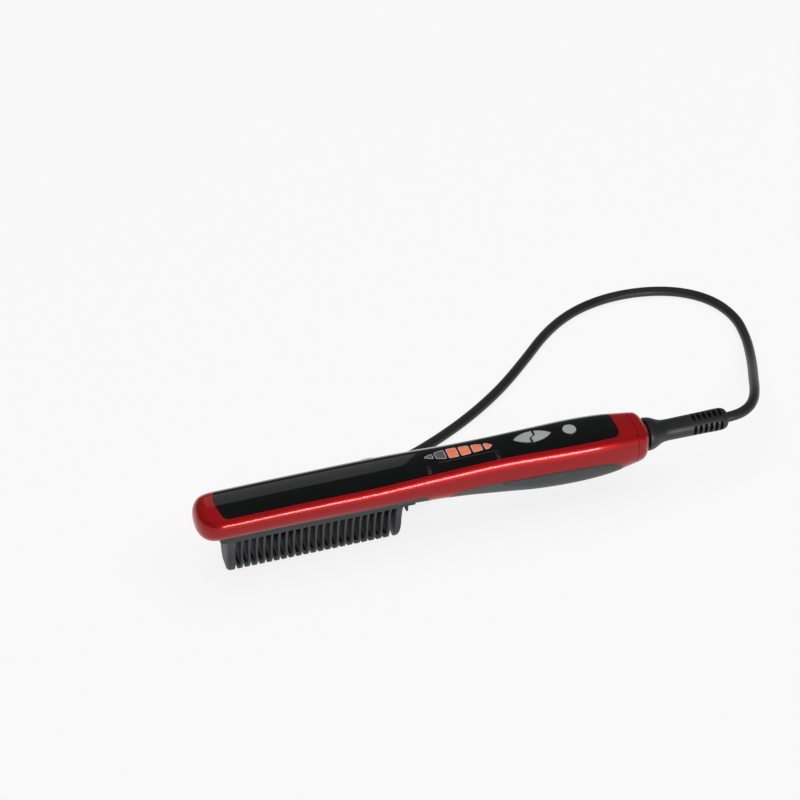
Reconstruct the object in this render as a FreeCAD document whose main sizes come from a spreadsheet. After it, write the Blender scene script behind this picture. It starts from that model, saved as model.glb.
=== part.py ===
"""Heated hair straightening comb with a slim handle, swivel cord and two-pin plug.

Frame: millimetres, +X from the nose to the cord, +Y to the right side seen from the
cord, +Z up. The comb stands on its tooth tips at z = 0 and the origin lies below the
middle of the comb and its cord boot. A station is a distance along the body from the
nose, so X = nose_x + station.
"""
import FreeCAD, Part
import math
import os

from FreeCAD import Placement, Rotation
from FreeCAD import Vector as V

doc = FreeCAD.newDocument("hot_comb")
dims = doc.addObject("Spreadsheet::Sheet", "dims")

# ---------------------------------------------------------------- driving dimensions
SIZES = {
    "headLength": 140, "handleLength": 150, "noseLength": 16, "noseHeightLength": 9,
    "endRound": 7, "endShare": 0.78, "wall": 2, "fit": 0.3,
    "railGap": 0.1, "crownPower": 3.2, "bellyPower": 2.4,

    "headFrontAt": 12, "headFrontHalf": 16.7, "headFrontTop": 52.7, "headFrontBottom": 31.4,
    "headMidAt": 60, "headMidHalf": 16.8, "headMidTop": 53.3, "headMidBottom": 31.4,
    "headRearAt": 110, "headRearHalf": 17.0, "headRearTop": 53.7, "headRearBottom": 30.0,
    "neckFrontHalf": 16.2, "neckFrontTop": 54.0, "neckFrontBottom": 27.8,
    "neckBack": 125, "neckHalf": 15.3, "neckTop": 53.6, "neckBottom": 25.0,
    "waistBack": 100, "waistHalf": 15.1, "waistTop": 53.2, "waistBottom": 21.1,
    "palmFrontBack": 75, "palmFrontHalf": 16.0, "palmFrontTop": 53.1, "palmFrontBottom": 17.8,
    "palmBack": 50, "palmHalf": 16.9, "palmTop": 52.9, "palmBottom": 17.1,
    "heelBack": 30, "heelHalf": 16.4, "heelTop": 52.0, "heelBottom": 18.2,
    "rearBack": 15, "rearHalf": 15.0, "rearTop": 50.3, "rearBottom": 21.1,
    "endHalf": 13.1, "endTop": 48.3, "endBottom": 24.7,

    "panelFront": 12.3, "panelCorner": 16, "panelBack": 24, "panelRearRadius": 6,
    "panelMargin": 2.8, "panelMarginRear": 4.7, "panelTaperBack": 180, "collarLength": 7.6,
    "rimHeight": 37, "flangeFront": 12.6, "flangeHalf": 14.6, "flangeUnder": 31.2,
    "flangeCorner": 4, "tailGap": 0.75, "tailLength": 9, "tailHalf": 14, "tailSide": 32.6,
    "tailUnder": 30.9, "tailSlope": 1.5, "neckBand": 13.3, "gripBack": 21.5, "gripLine": 34.6,
    "gripRise": 17, "gripFall": 9, "padBack": 26, "padLength": 76,
    "padHeight": 8.5, "padThickness": 1,

    "ribCount": 21, "ribPitch": 4.6, "firstRibAt": 25.9, "ribThickness": 1.3,
    "ribRim": 2.7, "ribRootHalf": 13.2, "ribKneeHalf": 11, "ribKneeHeight": 11,
    "ribFlatHalf": 3.6, "ribTop": 33.6, "frontBlock": 4.95, "blockRound": 3.4,
    "rearBlock": 3.9, "finThickness": 1, "finPlate": 2.4, "finPlateHalf": 10.8,
    "plateMargin": 1.2, "stubCount": 3, "stubPitch": 2.4, "stubThickness": 1.5,
    "stubHalf": 11, "stubDrop": 7,

    "chassisFront": 22, "chassisBack": 27, "chassisHalf": 11.6, "chassisTop": 42,
    "chassisPlate": 1.6, "bossRadius": 3, "boardLead": 6, "boardBack": 38,
    "boardHalf": 10.6, "boardThickness": 1.6, "boardGap": 1, "boardScrewInset": 4,
    "boardRibHalf": 3, "clampPadHalf": 2, "switchSide": 6, "switchHeight": 3,
    "plungerRadius": 1.6, "plungerHeight": 0.8,
    "powerBack": 53.2, "powerRadius": 4.3, "keysBack": 77.4, "keysHalfLength": 12.3,
    "keysHalfWidth": 4.9, "keysGap": 1.5, "keysZigzag": 1.6, "stemRadius": 1.8,
    "buttonProud": 0.7, "buttonSkirt": 1.2, "buttonSkirtHeight": 0.8, "buttonSide": 0.25,
    "stemGap": 0.5, "crownDrop": 0.3,
    "windowCount": 6, "windowBack": 148, "windowPitch": 7.85, "windowLength": 7.1,
    "windowHalf": 4.6, "windowPointed": 6.4, "windowShoulder": 2.6, "windowDepth": 5.4,
    "ledSide": 2.2, "ledHeight": 0.9,
    "triacLength": 9, "triacWidth": 4, "triacHeight": 4, "controllerSide": 5,
    "controllerHeight": 1.2, "capacitorRadius": 2.4, "capacitorLength": 10, "terminalLength": 3.6,
    "terminalHalf": 6, "terminalHeight": 4, "edgeGap": 1,

    "heaterLength": 24, "heaterHalf": 6, "heaterThickness": 2.4, "heaterPitch": 30,
    "filmThickness": 0.3, "filmMargin": 2, "clampThickness": 0.6, "clampHalf": 4,
    "fuseRadius": 1.8, "fuseLength": 11, "sensorRadius": 1.5, "sensorLength": 5,
    "wireRadius": 0.9, "wireSpread": 4, "wireBend": 2.5,

    "screwRadius": 1.25, "screwHeadRadius": 2.5, "screwHead": 1.6, "screwSlot": 0.6,
    "screwSlotDepth": 0.8, "screwClear": 0.15, "pilotDepth": 7, "combScrewAt": 5,
    "combScrewOffset": 7, "combSeat": 35.6, "combScrewSeat": 33, "gripScrewLead": 17,
    "gripScrewBack": 36, "gripSeatHeight": 2.2,

    "axisHeight": 36.3, "coreRadius": 7.5, "coreRunning": 0.05, "coreBore": 2.4,
    "coreFlange": 9.6, "coreFlangeThickness": 2.2, "coreTailRadius": 5.4, "coreTail": 9,
    "collarFace": 3.6, "socketLength": 20, "socketWall": 2, "drumGap": 1.2,
    "ringRadius": 6.2, "ringThickness": 0.6, "ringWidth": 2.2, "ringPitch": 4,
    "brushWidth": 1.8, "brushHalf": 1.5, "brushHeight": 2.4,

    "bootLength": 51, "bellRadius": 9.6, "bellLength": 9.5, "bootRadius": 6.6,
    "bootEndRadius": 5.9, "bootEndRound": 1.6, "bootSlots": 6, "bootSlotPitch": 3.9,
    "bootSlotWidth": 1.7, "bootSlotDepth": 2.3, "bootRib": 2.2, "bootSlotEnd": 3,

    "cordDiameter": 6.6, "hankFront": 29.5, "hankLength": 110, "hankNear": 12.6,
    "hankWidth": 38.9, "hankLayers": 3, "hankSlack": 0.2, "hankWaistHalf": 7,
    "tieWidth": 8, "tieThickness": 1.2,
    "plugLength": 36, "plugWidth": 35.3, "plugThickness": 14, "plugNeck": 14,
    "plugNeckRadius": 4.6, "plugNeckFlare": 1.4, "plugChamfer": 1.6, "pinRadius": 2,
    "pinLength": 19, "pinTip": 1, "pinSpacing": 18.6,
}
for row, (name, value) in enumerate(SIZES.items(), start=1):
    dims.set(f"A{row}", name)
    dims.set(f"B{row}", str(value))
    dims.setAlias(f"B{row}", name)
doc.recompute()


def d(name):
    """The value of one named dimension."""
    return float(dims.get(name))


body_end = d("headLength") + d("handleLength")
nose_x = -(body_end + d("bootLength")) / 2
BODY_END = "(dims.headLength + dims.handleLength)"
NOSE = f"-({BODY_END} + dims.bootLength) / 2"
HEAD_STATIONS = ("headFront", "headMid", "headRear")
HANDLE_STATIONS = ("neck", "waist", "palmFront", "palm", "heel", "rear")
SECTION_POINTS = 16
BEYOND = 40
nodes = []


def back(name):
    """The station that lies a named distance before the end of the body."""
    return body_end - d(name)


# ---------------------------------------------------------------- document helpers
def keep(obj, label):
    """Name a finished sub-part and put it on the list of nodes."""
    obj.Label = label
    nodes.append(obj)
    return obj


def feature(label, shape, place=Placement()):
    """A sub-part whose free-form shape is worked out below from the sheet."""
    obj = doc.addObject("Part::Feature", label)
    obj.Shape = shape
    obj.Placement = place
    return keep(obj, label)


def bound(kind, name, at, turn=None, **sizes):
    """A Part primitive whose sizes and place are expressions on the sheet."""
    obj = doc.addObject("Part::" + kind, name)
    if turn:
        obj.Placement = Placement(V(), turn)
    for prop, text in sizes.items():
        obj.setExpression(prop, text)
    for letter, text in zip("xyz", at):
        obj.setExpression("Placement.Base." + letter, text)
    return obj


def fused(name, parts):
    """The union of several document objects."""
    obj = doc.addObject("Part::MultiFuse", name)
    obj.Shapes = parts
    return obj


def cut(name, base, tool):
    """One document object less another."""
    obj = doc.addObject("Part::Cut", name)
    obj.Base = base
    obj.Tool = tool
    return obj


def grouped(label, parts):
    """Separate solids that share one node."""
    obj = doc.addObject("Part::Compound", label)
    obj.Links = parts
    return keep(obj, label)


TO_X = Rotation(V(0, 1, 0), 90)


# ---------------------------------------------------------------- body envelope
def profile(station):
    """Half width, top and bottom of the body at a station, before its ends round off."""
    at = [d(n + "At") for n in HEAD_STATIONS] + [d("headLength")]
    at += [back(n + "Back") for n in HANDLE_STATIONS] + [body_end]
    names = HEAD_STATIONS + ("neckFront",) + HANDLE_STATIONS + ("end",)
    rows = [[d(n + size) for n in names] for size in ("Half", "Top", "Bottom")]
    station = min(max(station, at[0]), at[-1])
    i = max(k for k in range(len(at) - 1) if at[k] <= station)
    gap = at[i + 1] - at[i]
    u = (station - at[i]) / gap

    def slope(row, k):
        if k in (0, len(at) - 1):
            return 0.0 if k == 0 else (row[k] - row[k - 1]) / (at[k] - at[k - 1])
        return (row[k + 1] - row[k - 1]) / (at[k + 1] - at[k - 1])

    return [(1 + 2 * u) * (1 - u) ** 2 * row[i] + u * u * (3 - 2 * u) * row[i + 1]
            + gap * u * (1 - u) * ((1 - u) * slope(row, i) - u * slope(row, i + 1))
            for row in rows]


def rounding(along, length, power=2.3):
    """The share of its full size that an end has, this far from its tip."""
    if along >= length:
        return 1.0
    return (1 - (1 - along / length) ** power) ** (1 / power)


def section(station, inset=0.0):
    """Closed cross-section of the body, or of its hollow when inset by the wall."""
    half, top, bottom = profile(station)
    middle, height = (top + bottom) / 2, (top - bottom) / 2
    from_nose = station - inset
    from_end = body_end - station
    # The rear face is blunt, so its rounding starts part of the way in.
    tail = rounding(from_end + d("endRound") * (1 - d("endShare")) / 2, d("endRound"))
    wide = (half - inset) * rounding(from_nose, d("noseLength")) * tail
    tall = (height - inset) * rounding(from_nose, d("noseHeightLength")) * tail
    points = []
    for k in range(SECTION_POINTS):
        a = 2 * math.pi * (k + 0.5) / SECTION_POINTS
        power = d("crownPower") if a < math.pi else d("bellyPower")
        y = wide * math.copysign(abs(math.cos(a)) ** (2 / d("crownPower")), math.cos(a))
        z = tall * math.copysign(abs(math.sin(a)) ** (2 / power), math.sin(a))
        points.append(V(nose_x + station, y, middle + z))
    curve = Part.BSplineCurve()
    curve.interpolate(points, PeriodicFlag=True)
    return Part.Wire(curve.toShape())


def envelope(inset=0.0):
    """Solid of the body's outer surface, inset all round."""
    start, end = inset, body_end
    at = [start + x for x in (0.05, 0.6, 2, 4.5, 8.5, 13.5)]
    step = (end - 12 - at[-1]) / 12
    at += [at[-1] + step * k for k in range(1, 13)]
    at += [end - x for x in (7, 4, 1.6, 0)]
    return Part.makeLoft([section(x, inset) for x in at], True, False)


def prism(points, direction):
    """A closed outline, given as edges or points, pushed along a direction."""
    wire = Part.makePolygon(points + points[:1])
    return Part.Face(wire).extrude(direction)


def spline(points):
    """A smooth open edge through points."""
    curve = Part.BSplineCurve()
    curve.interpolate(points)
    return curve.toShape()


def box(x0, x1, y0, y1, z0, z1):
    """A block between two stations, two widths and two heights."""
    return Part.makeBox(x1 - x0, y1 - y0, z1 - z0, V(nose_x + x0, y0, z0))


def post(station, y, z0, z1, radius):
    """An upright cylinder."""
    return Part.makeCylinder(radius, z1 - z0, V(nose_x + station, y, z0))


def along_x(x0, x1, radius, y=0.0, z=None):
    """A cylinder that lies along the body."""
    z = d("axisHeight") if z is None else z
    return Part.makeCylinder(radius, x1 - x0, V(nose_x + x0, y, z), V(1, 0, 0))


def layer(low, high):
    """A slab between two heights that covers the whole body."""
    return box(-BEYOND, body_end + BEYOND, -BEYOND, BEYOND, low, high)


def panel_half(station):
    """Half width of the control panel: its margin grows towards the heel."""
    taper = back("panelTaperBack")
    share = min(1, max(0, (station - taper) / (back("heelBack") - taper)))
    margin = d("panelMargin") + share * (d("panelMarginRear") - d("panelMargin"))
    return profile(station)[0] - margin


def panel_prism(grow=0.0):
    """Prism of the control panel's outline above the chassis: bowed front, squared rear."""
    front, corner, rear = d("panelFront"), d("panelCorner"), back("panelBack") + grow
    radius = d("panelRearRadius")
    last = rear - radius
    at = [corner + (last - corner) * k / 11 for k in range(12)]
    low = d("chassisTop")
    near = [V(nose_x + x, -panel_half(x) - grow, low) for x in at]
    far = [V(p.x, -p.y, low) for p in reversed(near)]
    turn = radius * (1 - math.sqrt(0.5))
    side = far[0].y
    edges = [
        spline(near),
        Part.Arc(near[-1], V(nose_x + rear - turn, -side + turn, low),
                 V(nose_x + rear, -side + radius, low)).toShape(),
        Part.LineSegment(V(nose_x + rear, -side + radius, low),
                         V(nose_x + rear, side - radius, low)).toShape(),
        Part.Arc(V(nose_x + rear, side - radius, low),
                 V(nose_x + rear - turn, side - turn, low), far[0]).toShape(),
        spline(far),
        Part.Arc(far[-1], V(nose_x + front - grow, 0, low), near[0]).toShape(),
    ]
    return Part.Face(Part.Wire(edges)).extrude(V(0, 0, BEYOND))


def side_prism(outline):
    """Prism across the whole width of a side outline given as (station, height)."""
    edge = spline([V(nose_x + x, -BEYOND, z) for x, z in outline])
    first, last = edge.Vertexes[0].Point, edge.Vertexes[-1].Point
    corners = [last, V(last.x, -BEYOND, -5), V(first.x, -BEYOND, -5), first]
    lower = [Part.LineSegment(a, b).toShape() for a, b in zip(corners, corners[1:])]
    return Part.Face(Part.Wire([edge] + lower)).extrude(V(0, 2 * BEYOND, 0))


def grip_prism():
    """Everything below the line where the grip meets the painted body."""
    front, rear, line = grip_front, back("gripBack"), d("gripLine")
    rise, fall = d("gripRise"), d("gripFall")
    low_front, low_rear = profile(front)[2], profile(rear)[2]
    straight = (rear - fall) - (front + rise)
    return side_prism([
        (front, low_front - 1), (front + rise * 0.28, line - 5.2),
        (front + rise * 0.6, line - 1.5), (front + rise, line),
        (front + rise + straight * 0.33, line), (front + rise + straight * 0.66, line),
        (rear - fall, line - 1), (rear - fall * 0.42, line - 4),
        (rear, low_rear + 1)])


def pad_prism():
    """Lens-shaped side outline of the thumb pads, through the whole width."""
    rear, span, line = back("padBack"), d("padLength"), d("gripLine") - 0.8
    drop = d("padHeight")

    def p(share, z):
        return V(nose_x + rear - span * (1 - share), -BEYOND, z)

    upper = [p(u, line - 1.4 * (2 * u - 1) ** 4) for u in (0, 0.14, 0.4, 0.7, 0.9)]
    upper.append(p(1, line - 4.2))
    lower = [upper[-1], p(0.8, line - drop), p(0.4, line - drop + 1), upper[0]]
    wire = Part.Wire([spline(upper), spline(lower)])
    return Part.Face(wire).extrude(V(0, 2 * BEYOND, 0))


# Stations along the comb. The neck and the grip follow the end of the comb.
rib_at = [d("firstRibAt") + d("ribPitch") * k for k in range(int(d("ribCount")))]
slot = d("ribPitch") - d("ribThickness")
comb_front = rib_at[0] - d("ribThickness") / 2 - slot
comb_rear = rib_at[-1] + d("ribThickness") / 2 + slot
stub_front = comb_rear + d("rearBlock")
tail_step = stub_front + d("stubCount") * d("stubPitch") + d("tailGap")
tail_tip = tail_step + d("tailLength")
grip_front = tail_tip + d("neckBand")
rim = d("rimHeight")
rim_end = tail_tip - (rim - d("tailSide")) / d("tailSlope")
rim_outline = [(d("flangeFront"), 0), (d("flangeFront"), rim), (rim_end, rim),
               (rim_end + rim / d("tailSlope"), 0)]

outer = envelope()
inner = envelope(d("wall"))
skin = outer.cut(inner)
rear_part = box(back("collarLength"), body_end + BEYOND, -BEYOND, BEYOND, 0, 2 * BEYOND)
below_rim = prism([V(nose_x + x, -BEYOND, z) for x, z in rim_outline], V(0, 2 * BEYOND, 0))
grip_solid = grip_prism()
grip_screw_at = (grip_front + d("gripScrewLead"), back("gripScrewBack"))
comb_screw_at = [(tail_step + d("combScrewAt"), y)
                 for y in (-d("combScrewOffset"), d("combScrewOffset"))]


# ---------------------------------------------------------------- housings
def body_shell():
    """Painted body: nose, side rails, neck band and rear ring in one moulding."""
    shape = skin.cut(rear_part).cut(below_rim).cut(grip_solid)
    return shape.cut(panel_prism(d("railGap")))


def button_outline(grow=0.0):
    """The hole or skirt outline of the power button."""
    return post(back("powerBack"), 0, 30, 80, d("powerRadius") + grow)


def key_blank(grow=0.0):
    """Lens-shaped prism that holds both temperature keys."""
    long, wide = d("keysHalfLength") + grow, d("keysHalfWidth") + grow
    centre = V(nose_x + back("keysBack"), 0, 30)
    ends = [centre - V(long, 0, 0), centre + V(long, 0, 0)]
    edges = [Part.Arc(ends[0], centre + V(0, -wide, 0), ends[1]).toShape(),
             Part.Arc(ends[1], centre + V(0, wide, 0), ends[0]).toShape()]
    return Part.Face(Part.Wire(edges)).extrude(V(0, 0, 50))


def zigzag(gap):
    """Crooked slot between the two temperature keys."""
    x, reach, step = nose_x + back("keysBack"), d("keysHalfWidth") + 4, d("keysZigzag")
    left = [(-reach, -step), (-1, -step), (1, step), (reach, step)]
    points = [V(x + off - gap / 2, y, 30) for y, off in left]
    points += [V(x + off + gap / 2, y, 30) for y, off in reversed(left)]
    return prism(points, V(0, 0, 50))


def window_start(index):
    """Station where a level window starts."""
    return back("windowBack") + index * d("windowPitch")


def window_prism(index):
    """Prism of one level window: pointed first and last, trapezia between."""
    start = window_start(index)
    end = start + d("windowLength")

    def half(x):
        """Half width of the whole strip, which tapers to both ends."""
        share = (x - window_start(0)) / (d("windowCount") * d("windowPitch"))
        return d("windowHalf") * min(1.0, 0.3 + 2.2 * share, 1.62 - 1.15 * share)

    if index == 0:
        corners = [(start, 0), (end, -half(end)), (end, half(end))]
    elif index == d("windowCount") - 1:
        shoulder = start + d("windowShoulder")
        corners = [(start, -half(start)), (shoulder, -half(start)),
                   (start + d("windowPointed"), 0), (shoulder, half(start)),
                   (start, half(start))]
    else:
        corners = [(start, -half(start)), (end, -half(end)), (end, half(end)),
                   (start, half(start))]
    return prism([V(nose_x + x, y, 30) for x, y in corners], V(0, 0, 50))


windows = [window_prism(i) for i in range(int(d("windowCount")))]


def top_panel():
    """Gloss control panel that closes the top of the body."""
    shape = skin.common(panel_prism())
    shape = shape.cut(button_outline(d("buttonSide"))).cut(key_blank(d("buttonSide")))
    return shape.cut(Part.makeCompound(windows))


grip_pad_shape = outer.common(pad_prism()).cut(envelope(d("padThickness")))


def grip_cover():
    """Soft-touch cover under the handle, with two sunk screw holes."""
    shape = skin.cut(rear_part).common(grip_solid).cut(grip_pad_shape)
    for station in grip_screw_at:
        low = profile(station)[2]
        seat_low, seat_high = low + d("wall") * 0.4, low + d("wall") + d("gripSeatHeight")
        seat = post(station, 0, seat_low, seat_high,
                    d("screwHeadRadius") + d("fit") + d("padThickness"))
        hole = post(station, 0, low - 5, seat_high + 5, d("screwRadius") + d("screwClear"))
        sink = post(station, 0, low - 5, low + d("wall") * 1.2,
                    d("screwHeadRadius") + d("fit"))
        shape = shape.fuse(seat).cut(hole).cut(sink)
    return shape.removeSplitter()


def rear_collar():
    """Painted end cap with the bore that the cord swivel turns in."""
    hollow = inner.common(box(0, back("collarFace"), -BEYOND, BEYOND, 0, 2 * BEYOND))
    shape = outer.common(rear_part).cut(hollow)
    return shape.cut(along_x(back("socketLength"), body_end + 1,
                             d("coreRadius") + d("coreRunning")))


# ---------------------------------------------------------------- heated comb
opening_half = d("finPlateHalf") + d("fit")
rib_top = d("ribTop")
plate_low = rib_top + d("fit")
plate_high = plate_low + d("finPlate")


def tooth_outline(station, inset, top):
    """U-shaped outline of a tooth across the comb, at one station."""
    root, knee = d("ribRootHalf") - inset, d("ribKneeHalf") - inset
    flat, rise = d("ribFlatHalf"), d("ribKneeHeight")
    x = nose_x + station
    mid = V(x, -(flat + (knee - flat) * 0.72), inset + (rise - inset) * 0.3)
    start, end = V(x, -knee, rise), V(x, -flat, inset)
    sides = [Part.LineSegment(V(x, -root, top), start).toShape(),
             Part.Arc(start, mid, end).toShape()]
    mirrored = [Part.LineSegment(V(x, root, top), V(x, knee, rise)).toShape(),
                Part.Arc(V(x, knee, rise), V(x, -mid.y, mid.z), V(x, flat, inset)).toShape()]
    base = Part.LineSegment(end, V(x, flat, inset)).toShape()
    lid = Part.LineSegment(V(x, -root, top), V(x, root, top)).toShape()
    return Part.Wire(Part.__sortEdges__(sides + mirrored + [base, lid]))


def tooth(station, thickness, inset, top):
    """A solid tooth plate centred on a station."""
    face = Part.Face(tooth_outline(station - thickness / 2, inset, top))
    return face.extrude(V(thickness, 0, 0))


def front_block():
    """End block of the guard in front of the first slot, with a rounded foot."""
    front, turn = comb_front - d("frontBlock"), d("blockRound")
    whole = Part.Face(tooth_outline(front, 0, rib_top)).extrude(V(d("frontBlock"), 0, 0))

    def p(x, z):
        return V(nose_x + x, -BEYOND, z)

    nip = turn * (1 - math.sqrt(0.5))
    curve = Part.Arc(p(front + turn, 0), p(front + nip, nip), p(front, turn))
    corners = [p(front, turn), p(front - 5, turn), p(front - 5, -5), p(front + turn, -5),
               p(front + turn, 0)]
    sides = [Part.LineSegment(a, b).toShape() for a, b in zip(corners, corners[1:])]
    waste = Part.Face(Part.Wire([curve.toShape()] + sides))
    return whole.cut(waste.extrude(V(0, 2 * BEYOND, 0)))


def rear_block():
    """End block behind the last slot, with a large radius at its foot."""
    whole = Part.Face(tooth_outline(comb_rear, 0, rib_top)).extrude(V(d("rearBlock"), 0, 0))
    top, foot, drop = stub_front, comb_rear + 1, d("ribKneeHeight") * 1.6

    def p(x, z):
        return V(nose_x + x, -BEYOND, z)

    curve = Part.Arc(p(foot, 0), p(top - d("rearBlock") * 0.25, drop * 0.35), p(top, drop))
    corners = [p(top, drop), p(top + 5, drop), p(top + 5, -5), p(foot, -5), p(foot, 0)]
    sides = [Part.LineSegment(a, b).toShape() for a, b in zip(corners, corners[1:])]
    waste = Part.Face(Part.Wire([curve.toShape()] + sides))
    return whole.cut(waste.extrude(V(0, 2 * BEYOND, 0)))


def comb_guard():
    """Plastic guard: flange under the head, one U-shaped rim per tooth, end blocks."""
    half, low = d("flangeHalf"), d("flangeUnder")
    plate = box(d("flangeFront"), tail_step, -half, half, low, rim)
    front_edges = [e for e in plate.Edges
                   if abs(e.BoundBox.XMax - nose_x - d("flangeFront")) < 0.01
                   and e.BoundBox.ZLength > 1]
    plate = plate.makeFillet(d("flangeCorner"), front_edges)
    tail = box(tail_step - 1, tail_tip + 5, -d("tailHalf"), d("tailHalf"), d("tailSide"), rim)
    flange = outer.common(below_rim).fuse(plate).fuse(tail.common(below_rim))
    # The tail behind the flange is thinner than the flange.
    flange = flange.cut(box(tail_step, tail_tip + 20, -BEYOND, BEYOND, 0, d("tailUnder")))
    flange = flange.cut(box(comb_front, comb_rear, -opening_half, opening_half, 0, BEYOND))
    flange = flange.cut(box(d("flangeFront"), tail_tip + 5, -opening_half, opening_half,
                            plate_high, 60))
    parts = []
    for station in rib_at:
        rim_solid = tooth(station, d("ribThickness"), 0, rib_top)
        hole = tooth(station, d("ribThickness") + 1, d("ribRim"), rib_top + 1)
        parts.append(rim_solid.cut(hole))
    parts += [front_block(), rear_block()]
    for k in range(int(d("stubCount"))):
        station = stub_front + d("stubPitch") * (k + 0.5)
        half = d("stubThickness") / 2
        low = d("flangeUnder") - d("stubDrop") * (0.45, 1, 0.4)[k]
        parts.append(box(station - half, station + half, -d("stubHalf"), d("stubHalf"),
                         low, rib_top))
    shape = flange.multiFuse(parts)
    for station, y in comb_screw_at:
        shape = shape.cut(post(station, y, 0, 60, d("screwRadius") + d("screwClear")))
        shape = shape.cut(post(station, y, 0, d("combScrewSeat"),
                               d("screwHeadRadius") + d("fit")))
        shape = shape.cut(post(station, y, d("combSeat"), 60, d("bossRadius") + d("fit")))
    return shape.removeSplitter()


def heating_comb():
    """Coated aluminium comb: a base plate and one thin fin inside each guard rim."""
    margin = d("plateMargin")
    shape = box(comb_front + margin, comb_rear - margin, -d("finPlateHalf"),
                d("finPlateHalf"), plate_low, plate_high)
    fins = [tooth(station, d("finThickness"), d("ribRim") + d("fit"), plate_low)
            for station in rib_at]
    return shape.multiFuse(fins).removeSplitter()


# ---------------------------------------------------------------- inside of the head
comb_middle = (comb_front + comb_rear) / 2
clamp_high = (plate_high + d("heaterThickness") + d("filmThickness")
              + d("clampThickness"))
chassis_low = d("chassisTop") - d("chassisPlate")
board_front = window_start(0) - d("boardLead")
board_screw_at = (board_front + d("boardScrewInset"),
                  back("boardBack") - d("boardScrewInset"))


def chassis():
    """Inner frame: a plate with bosses for the guard and the grip, ribs for the board."""
    half, top = d("chassisHalf"), d("chassisTop")
    shape = box(d("chassisFront"), back("chassisBack"), -half, half, chassis_low, top)
    pilots = []
    for station, y in comb_screw_at:
        shape = shape.fuse(post(station, y, d("combSeat"), top, d("bossRadius")))
        pilots.append((station, y, d("combSeat")))
    for station in grip_screw_at:
        low = profile(station)[2] + d("wall") + d("gripSeatHeight")
        shape = shape.fuse(post(station, 0, low, top, d("bossRadius")))
        pilots.append((station, 0, low))
    for station in board_screw_at:
        rib = d("boardRibHalf")
        shape = shape.fuse(box(station - rib, station + rib, -half, half, top,
                               top + d("boardGap")))
        pilots.append((station, 0, chassis_low))
    for k in (-1, 0, 1):
        station, pad = comb_middle + k * d("heaterPitch"), d("clampPadHalf")
        shape = shape.fuse(box(station - pad, station + pad, -d("clampHalf"),
                               d("clampHalf"), clamp_high, chassis_low))
    for station, y, low in pilots:
        shape = shape.cut(post(station, y, low - 1, low + d("pilotDepth"),
                               d("screwRadius")))
    return shape.removeSplitter()


def path_wire(points, bend):
    """A path along straight runs with a tangent arc at each corner."""
    edges, start = [], points[0]
    for before, corner, after in zip(points, points[1:], points[2:]):
        to_last, to_next = (before - corner).normalize(), (after - corner).normalize()
        half_turn = (math.pi - to_last.getAngle(to_next)) / 2
        radius = bend(before, corner, after)
        reach = radius * math.tan(half_turn)
        first, last = corner + to_last * reach, corner + to_next * reach
        inward = (to_last + to_next).normalize()
        middle = corner + inward * (radius / math.cos(half_turn) - radius)
        edges += [Part.LineSegment(start, first).toShape(),
                  Part.Arc(first, middle, last).toShape()]
        start = last
    edges.append(Part.LineSegment(start, points[-1]).toShape())
    return Part.Wire(edges)


def path_tube(points, radius, bend):
    """A round tube along such a path, and the path."""
    path = path_wire(points, bend)
    heading = (points[1] - points[0]).normalize()
    ring = Part.Wire(Part.makeCircle(radius, points[0], heading))
    return path.makePipeShell([ring], True, False), path


# ---------------------------------------------------------------- build the pieces
feature("body_shell", body_shell())
feature("top_panel", top_panel())
feature("grip_cover", grip_cover())
feature("grip_pads", grip_pad_shape)
feature("rear_collar", rear_collar())
feature("comb_guard", comb_guard())
feature("heating_comb", heating_comb())
feature("chassis", chassis())

# Ceramic heater stones lie on the comb's base plate, under an insulating film and a
# spring clamp that the chassis holds down.
PLATE_HIGH = "dims.ribTop + dims.fit + dims.finPlate"
COMB_MIDDLE = f"{NOSE} + dims.firstRibAt + dims.ribPitch * (dims.ribCount - 1) / 2"
FILM_LENGTH = "(2 * dims.heaterPitch + dims.heaterLength + 2 * dims.filmMargin)"
grouped("heater_stones", [
    bound("Box", f"heater_stone_{k + 2}",
          (f"{COMB_MIDDLE} + {k} * dims.heaterPitch - dims.heaterLength / 2",
           "-dims.heaterHalf", PLATE_HIGH),
          Length="dims.heaterLength", Width="2 * dims.heaterHalf",
          Height="dims.heaterThickness")
    for k in (-1, 0, 1)])
keep(bound("Box", "insulation_film",
           (f"{COMB_MIDDLE} - {FILM_LENGTH} / 2", "-dims.heaterHalf",
            PLATE_HIGH + " + dims.heaterThickness"),
           Length=FILM_LENGTH, Width="2 * dims.heaterHalf",
           Height="dims.filmThickness"), "insulation_film")
keep(bound("Box", "heater_clamp",
           (f"{COMB_MIDDLE} - {FILM_LENGTH} / 2", "-dims.clampHalf",
            PLATE_HIGH + " + dims.heaterThickness + dims.filmThickness"),
           Length=FILM_LENGTH, Width="2 * dims.clampHalf",
           Height="dims.clampThickness"), "heater_clamp")
for name, size, side in (("thermal_fuse", "fuse", "+"), ("temperature_sensor", "sensor", "-")):
    keep(bound("Cylinder", name,
               (f"{COMB_MIDDLE} {side} dims.heaterPitch / 2 - dims.{size}Length / 2",
                f"dims.heaterHalf + dims.{size}Radius + dims.fit",
                f"{PLATE_HIGH} + dims.{size}Radius"),
               TO_X, Radius=f"dims.{size}Radius", Height=f"dims.{size}Length"), name)

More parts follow.
